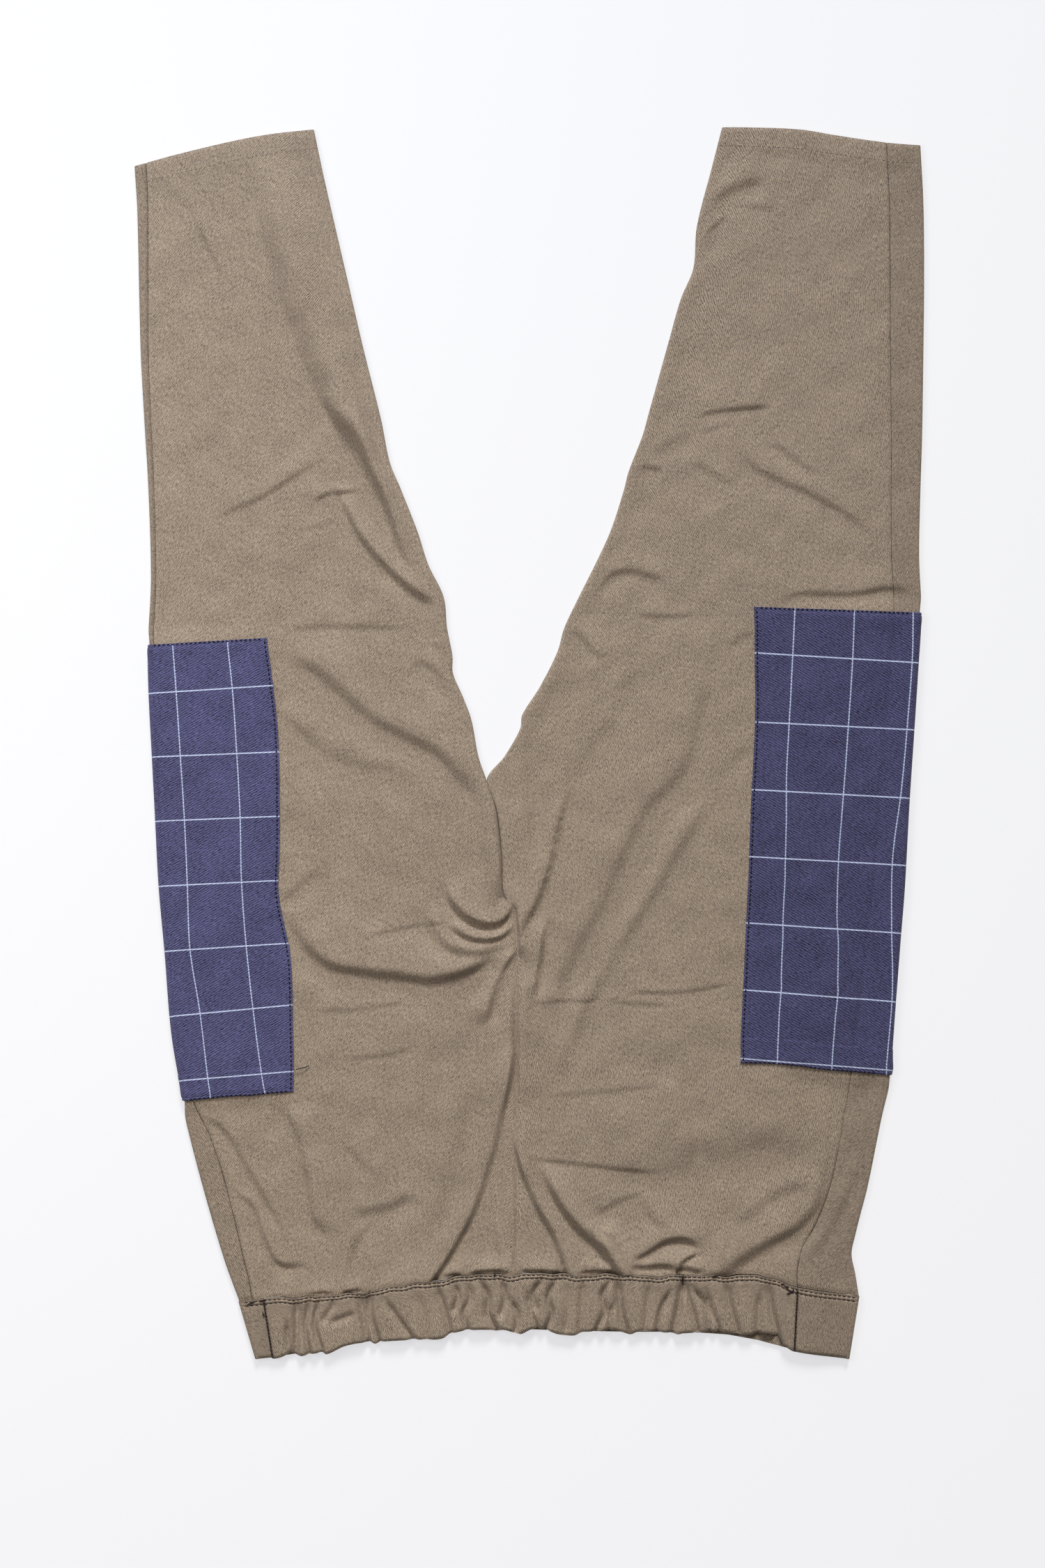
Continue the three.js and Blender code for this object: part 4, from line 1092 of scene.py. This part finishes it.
def linear(red, green, blue):
    """Scene colour of a display colour given from 0 to 255."""
    return tuple(((c / 255 + .055) / 1.055) ** 2.4 for c in (red, green, blue))


def twill(nodes, x, y, lean, period):
    """Ridges of a twill weave, along a line `lean` degrees above the cloth's x, from -1 to 1."""
    angle = math.radians(lean)
    wander = nodes.noise(x, y, detail=1.0, scale=.35, seed=3.0)
    across = nodes.weighted((x, math.sin(angle)), (y, -math.cos(angle)), (wander, period * .7))
    return nodes.math("SINE", nodes.math("MULTIPLY", across, 2 * math.pi / period))


def turned(nodes, x, y, lean):
    """Coordinates along and across a line `lean` degrees above the cloth's x."""
    angle = math.radians(lean)
    along = nodes.weighted((x, math.cos(angle)), (y, math.sin(angle)))
    across = nodes.weighted((x, -math.sin(angle)), (y, math.cos(angle)))
    return along, across


# Cloths: colour from 0 to 255, period of the twill, scale of the specks, and how strongly the
# ridges, yarns, specks and mottle show
DRILL = SimpleNamespace(color=(153, 137, 120), period=1.1, specks=2.1, shown=(.26, 2.0, 2.1, .3))
CHECK = SimpleNamespace(color=(72, 71, 104), period=1.6, specks=1.7, shown=(.45, 2.6, 1.9, .5))
CHECK_LEAN = 30
LINE_COLOR = (198, 208, 236)
LINE_WIDTH = 1.2
LINE_DOTS = 2.6  # spacing of the dots along the lengthwise lines
PANE = (42, 49)
YARN_SCALE = (.35, 1.4)  # of the yarns' noise, along and across them
MOTTLE_SCALE = .06
RELIEF = (.5, 1.2, .8)  # how strongly ridges, yarns and specks raise the surface
BUMP = (.5, .0003)  # strength and height of that relief, in metres
THREAD_TWIST = 2500  # scale of the noise that stands for a thread's twist
FRONT_PAINTED_SHADE = .88  # painted shade: the front's strips are made darker than the back
# Painted light: the right pocket's check is made 22 % lighter than the left one's.
RIGHT_POCKET_PAINTED_LIGHT = 1.22
BACK_LEAN, FRONT_LEAN = 60, 120  # degrees at which the drill's ridges run up


def weave(nodes, cloth, lean, painted_light):
    """Relief of a twill with uneven yarns, and its colour, specks and lengthwise coordinate."""
    x, y = nodes.uv("weave")
    ridges = twill(nodes, x, y, lean, cloth.period)
    along, across = turned(nodes, x, y, lean)
    along, across = (nodes.math("MULTIPLY", value, scale)
                     for value, scale in zip((along, across), YARN_SCALE))
    yarns = nodes.noise(along, across, detail=3.0, scale=1.0, seed=1.0)
    specks = nodes.noise(x, y, detail=2.0, scale=cloth.specks, seed=5.0)
    mottle = nodes.noise(x, y, detail=2.0, scale=MOTTLE_SCALE, seed=7.0)
    nodes.bump(nodes.weighted(*zip((ridges, yarns, specks), RELIEF)), *BUMP)
    amount = nodes.weighted(*zip((ridges, yarns, specks, mottle), cloth.shown))
    # A copy's colour is scaled here: below 1 by painted shade, above 1 by painted light.
    color = tuple(painted_light * c for c in linear(*cloth.color))
    return nodes.tinted(color, amount), specks, y


def make_drill(name, painted_light, lean):
    """Olive cotton drill."""
    nodes = Nodes(name)
    color, _, _ = weave(nodes, DRILL, lean, painted_light)
    nodes.link(color, nodes.shader.inputs["Base Color"])
    return nodes.finish(.88, .12)


def on_line(nodes, panes, pane):
    """1 on the whole numbers of a check coordinate, 0 off them."""
    away = nodes.math("PINGPONG", panes, 0.5)
    share = nodes.math("DIVIDE", away, LINE_WIDTH / 2 / pane)
    return nodes.math("SUBTRACT", 1.0, nodes.math("SMOOTH_MIN", share, 1.0, .4))


def make_check(name, painted_light):
    """Navy twill with a thin pale window-pane check."""
    nodes = Nodes(name)
    navy, specks, y = weave(nodes, CHECK, CHECK_LEAN, painted_light)
    pale = nodes.tinted(linear(*LINE_COLOR), nodes.weighted((specks, .4)))
    panes, rows = nodes.uv("check")
    dots = nodes.math("SINE", nodes.math("MULTIPLY", y, 2 * math.pi / LINE_DOTS))
    dots = nodes.math("MULTIPLY_ADD", dots, .3, .7)
    down = nodes.math("MULTIPLY", on_line(nodes, panes, PANE[0]), dots)
    line = nodes.math("MAXIMUM", down, on_line(nodes, rows, PANE[1]))
    blend = nodes.add("ShaderNodeMix", data_type="RGBA")
    shown = nodes.math("MINIMUM", nodes.math("MULTIPLY", line, 1.6), 1.0)
    nodes.link(shown, blend.inputs["Factor"])
    nodes.link(navy, blend.inputs["A"])
    nodes.link(pale, blend.inputs["B"])
    nodes.link(blend.outputs["Result"], nodes.shader.inputs["Base Color"])
    return nodes.finish(.85, .1)


def make_thread(name, color):
    """Matt sewing thread with a twist."""
    nodes = Nodes(name)
    place = nodes.add("ShaderNodeTexCoord").outputs["Object"]
    twist = nodes.add("ShaderNodeTexNoise")
    nodes.link(place, twist.inputs["Vector"])
    twist.inputs["Scale"].default_value = THREAD_TWIST
    amount = nodes.math("SUBTRACT", twist.outputs["Fac"], .5)
    nodes.link(nodes.tinted(linear(*color), amount), nodes.shader.inputs["Base Color"])
    nodes.bump(amount, .4, .0002)
    return nodes.finish(.7, 0)


# Sewing: pitch, length, thickness and height above the cloth of each kind of stitch
WAIST_SEWING = SimpleNamespace(pitch=3.6, length=3.2, thick=.75, lift=.15)
CASING_SEWING = SimpleNamespace(pitch=2.6, length=2.8, thick=1.4, lift=.5)
HEM_SEWING = SimpleNamespace(pitch=3.6, length=2.7, thick=.42, lift=.05)
POCKET_SEWING = SimpleNamespace(pitch=3.4, length=2.1, thick=1.15, lift=.15)
HEM_STITCH = HEM_TURN + .4  # distance of the hem's stitching from the edge
CORNER_ROWS, CORNER_COLUMNS = 3, 2  # what a pocket's stitching leaves out at the corners
ROW_ENDS = 4  # how far short of the band's ends its stitch rows stop
ROW_POINTS = 700
SEAM_POINTS = 60
UP = np.array([0, 0, 1.0])
RING_SIDES = 6
RING_PLACES = np.linspace(-1, 1, 5)  # along a stitch, from end to end
RING_SIZES = np.array([.35, .9, 1, .9, .35])
RING_HEIGHTS = np.array([-.7, .1, .3, .1, -.7])  # above the cloth, in half thicknesses


def resampled(points, spacing):
    """Evenly spaced points along a polyline, and its direction at each."""
    steps = np.linalg.norm(np.diff(points, axis=0), axis=1)
    at = np.concatenate([[0], np.cumsum(steps)])
    places = np.arange(spacing / 2, at[-1], spacing)
    lay = [np.column_stack([np.interp(p, at, axis) for axis in points.T])
           for p in (places, places - .5, places + .5)]
    along = lay[2] - lay[1]
    return lay[0], along / np.linalg.norm(along, axis=1)[:, None]


def stitch_points(points, sewing):
    """Rings of points of every stitch along a polyline on the cloth."""
    centre, along = resampled(points, sewing.pitch)
    side = np.cross(UP, along)
    half = sewing.thick / 2
    angle = np.arange(RING_SIDES) * 2 * math.pi / RING_SIDES
    rings = []
    for place, size, height in zip(RING_PLACES, RING_SIZES, RING_HEIGHTS):
        middle = centre + along * place * sewing.length / 2 + UP * height * half
        rings.append([middle + (side * math.cos(a) + UP * math.sin(a)) * half * size
                      for a in angle])
    return np.moveaxis(np.array(rings), 2, 0)


def sew(name, lines, sewing, material):
    """One piece of all the stitches along lines of points."""
    stitches = np.concatenate([stitch_points(points, sewing) for points in lines])
    count, rings = stitches.shape[:2]
    per = rings * RING_SIDES
    faces = []
    for first in range(0, count * per, per):
        last = first + per - RING_SIDES
        for ring in range(first, last, RING_SIDES):
            for k in range(RING_SIDES):
                a, b = ring + k, ring + (k + 1) % RING_SIDES
                faces.append((a, b, b + RING_SIDES, a + RING_SIDES))
        faces.append(tuple(range(first, first + RING_SIDES))[::-1])
        faces.append(tuple(range(last, last + RING_SIDES)))
    return new_piece(name, stitches.reshape(-1, 3), faces, material)


def sew_hem(leg, section, material):
    """The hem's row, where the cloth's upper side lies clear of the floor."""
    from_edge = (1 - section.rows.v) * (leg.hem_y - leg.waist_y)
    row = int(np.argmin(np.abs(from_edge - HEM_STITCH)))
    points = section.at[row, section.side + FINE.side - 2:]
    points = points[points[:, 2] > HEM_SEWING.thick]
    sew(f"hem_stitching_{leg.name}", [points + UP * HEM_SEWING.lift], HEM_SEWING, material)


def sew_pocket(leg, outer, shares, material):
    """Stitching along the pocket's inner edge, its opening and its far end."""
    y = leg.waist_y + shares * (leg.hem_y - leg.waist_y)
    inner_line = np.array([
        [np.interp(reach[-1] - EDGE_STITCH, reach, axis) for axis in points.T]
        for points, reach in zip(outer, run_across(outer))
    ])
    face = outer.shape[1] - FINE_POCKET.beside - FINE_POCKET.strip
    lines = [inner_line[CORNER_ROWS:-CORNER_ROWS] + UP * POCKET_SEWING.lift]
    for place in (leg.open_y + OPEN_STITCH, leg.end_y - OPEN_STITCH):
        row = int(np.argmin(np.abs(y - place)))
        lines.append(outer[row, face:-CORNER_COLUMNS])
    sew(f"pocket_stitching_{leg.name}", lines, POCKET_SEWING, material)


def band_line(share, x):
    """Points on the band's face at shares of its height and places x."""
    x, y, z = band_surface(np.asarray(share, float), np.asarray(x, float), curve(BACK_EDGE))
    return np.column_stack([x, y, z])


def sew_band(material):
    rows = []
    for at in BAND_ROWS_AT:
        share = at / BAND_HEIGHT
        right, left = band_ends(share)
        x = np.linspace(right + ROW_ENDS, left - ROW_ENDS, ROW_POINTS)
        rows.append(band_line(np.full(ROW_POINTS, share), x) + UP * WAIST_SEWING.lift)
    sew("waist_stitching", rows, WAIST_SEWING, material)
    share = np.linspace(.03, .97, SEAM_POINTS)
    seams = [band_line(share, mix(*ends, share)) + UP * CASING_SEWING.lift
             for ends in CASING.values()]
    sew("casing_stitching", seams, CASING_SEWING, material)


# Knots and thread ends on the waistband: x, share of the band's height, lean in degrees, length
TACKS = [
    (191, .04, -30, 4), (194, .08, -35, 6), (193, .12, 20, 4), (188, .03, 10, 3),
    (138, -.02, 15, 6), (114, .03, 80, 5), (114, .1, 95, 6), (196, .05, 80, 4),
    (-198, .25, -70, 4), (-192, .85, -75, 5), (-207, .04, 20, 7), (-199, .02, 15, 5),
    (-26, .0, 80, 4),
]
TACK_THICK = 1.1
TACK_LIFT = 0.7
LOOSE_THREAD = [
    (-173.5, -242, 6.8), (-170, -241, 7.6), (-167, -240.2, 7.2), (-164.4, -239.6, 5.8),
]


def make_tacks(material):
    """Knots and thread ends, each one thick stitch."""
    for number, (x, share, lean, length) in enumerate(TACKS):
        place = band_line([max(share, .005)], [x])[0] + UP * TACK_LIFT
        angle = math.radians(lean)
        half = np.array([math.cos(angle), math.sin(angle), 0]) * length / 2
        knot = SimpleNamespace(pitch=length * .99, length=length, thick=TACK_THICK)
        sew(f"tack_{number}", [np.array([place - half, place + half])], knot, material)


def make_loose_thread(material):
    """The thread end that sticks out beside the right pocket's opening."""
    end = SimpleNamespace(pitch=1.0, length=1.5, thick=.7)
    sew("loose_thread", [np.array(LOOSE_THREAD)], end, material)


# Studio, in metres
VIEW_HEIGHT = 1.17  # length of the floor that the picture shows
VIEW_CENTRE = (-0.0052, -0.0296)
LENS, SENSOR = 70, 36
FLOOR_REACH = 6
FLOOR_DROP = 0.0004  # how far below the trousers the floor lies
FLOOR_GLOW = .66  # keeps the floor evenly pale where the lights fall off
KEY_LEAN = 6  # degrees that the key light stands to the right of straight beyond the hems
KEY_RISE = 33  # degrees that it stands above the floor
KEY_SOFT = 16  # degrees that it is wide
KEY_STRENGTH = 2.72
LIGHTS = [  # name, place, target, width, power and colour
    ("overhead", (-.82, .22, 1.1), (-.66, .15, 0), .8, 7.8, (1, .97, .94)),
    ("hem_fill", (-.45, 1.35, .8), (-.15, .2, 0), 1.0, 6.4, (.5, .7, 1)),
]
WORLD_COLOR = (1, .97, .93, 1)
WORLD_STRENGTH = .155


def make_floor():
    mesh = bpy.data.meshes.new("floor")
    corners = [(-1, -1), (1, -1), (1, 1), (-1, 1)]
    points = [(x * FLOOR_REACH, y * FLOOR_REACH, -FLOOR_DROP) for x, y in corners]
    mesh.from_pydata(points, [], [(0, 1, 2, 3)])
    nodes = Nodes("pale_floor")
    nodes.link((.3, .3, .3, 1), nodes.shader.inputs["Base Color"])
    nodes.link((.97, .97, 1, 1), nodes.shader.inputs["Emission Color"])
    nodes.link(FLOOR_GLOW, nodes.shader.inputs["Emission Strength"])
    mesh.materials.append(nodes.finish(.9, 0))
    floor = add_object("floor", mesh)


def aim(thing, place, target):
    """Put a light at a place and turn it to its target."""
    thing.location = place
    direction = np.array(target) - np.array(place)
    flat = math.hypot(direction[0], direction[1])
    thing.rotation_euler = (math.atan2(flat, -direction[2]), 0,
                            math.atan2(-direction[0], direction[1]))


def make_light(name, place, target, size, power, color):
    data = bpy.data.lights.new(name, "AREA")
    data.shape = "DISK"
    data.size = size
    data.energy = power
    data.color = color
    aim(add_object(name, data), place, target)


def make_key():
    data = bpy.data.lights.new("key", "SUN")
    data.angle = math.radians(KEY_SOFT)
    data.energy = KEY_STRENGTH
    data.color = (1, .985, .96)
    lean, rise = math.radians(KEY_LEAN), math.radians(KEY_RISE)
    place = (math.sin(lean) * math.cos(rise), math.cos(lean) * math.cos(rise), math.sin(rise))
    aim(add_object("key", data), place, (0, 0, 0))


def make_camera():
    data = bpy.data.cameras.new("camera")
    data.lens = LENS
    data.sensor_width = SENSOR
    camera = add_object("camera", data)
    camera.location = (*VIEW_CENTRE, VIEW_HEIGHT * LENS / SENSOR)
    bpy.context.scene.camera = camera


def make_world():
    world = bpy.data.worlds.new("studio")
    world.use_nodes = True
    background = world.node_tree.nodes["Background"]
    background.inputs["Color"].default_value = WORLD_COLOR
    background.inputs["Strength"].default_value = WORLD_STRENGTH
    bpy.context.scene.world = world


make_camera()
make_world()
make_key()
for light in LIGHTS:
    make_light(*light)
make_floor()
bpy.context.scene.view_settings.view_transform = "Standard"

drill = make_drill("drill", 1.0, BACK_LEAN)
# The front's copy of the drill has painted shade: it is made 12 % darker than the back's.
drill_front_shaded = make_drill("drill_front_shaded", FRONT_PAINTED_SHADE, FRONT_LEAN)
# The right pocket's copy of the check has painted light: it is made 22 % lighter than the left
# one's.
checked = {
    "right": make_check("pocket_check_right_painted_light", RIGHT_POCKET_PAINTED_LIGHT),
    "left": make_check("pocket_check_left", 1),
}
hem_thread = make_thread("hem_thread", (138, 124, 109))
# The navy thread's colour is partly its own dark navy and partly painted shade, made darker to
# stand in for the stitches' own shadows along the pocket's edges.
navy_thread = make_thread("navy_thread", (24, 22, 36))
dark_thread = make_thread("dark_thread", (52, 42, 40))
for leg in LEGS:
    front_piece, back_piece, section = make_leg_panels(leg, drill, drill_front_shaded)
    pocket, outer, shares = make_pocket(leg, checked[leg.name])
    sew_hem(leg, section, hem_thread)
    sew_pocket(leg, outer, shares, navy_thread)
back_band = make_back_band(drill)
front_band = make_front_band(drill_front_shaded)
sew_band(dark_thread)
make_tacks(dark_thread)
make_loose_thread(navy_thread)
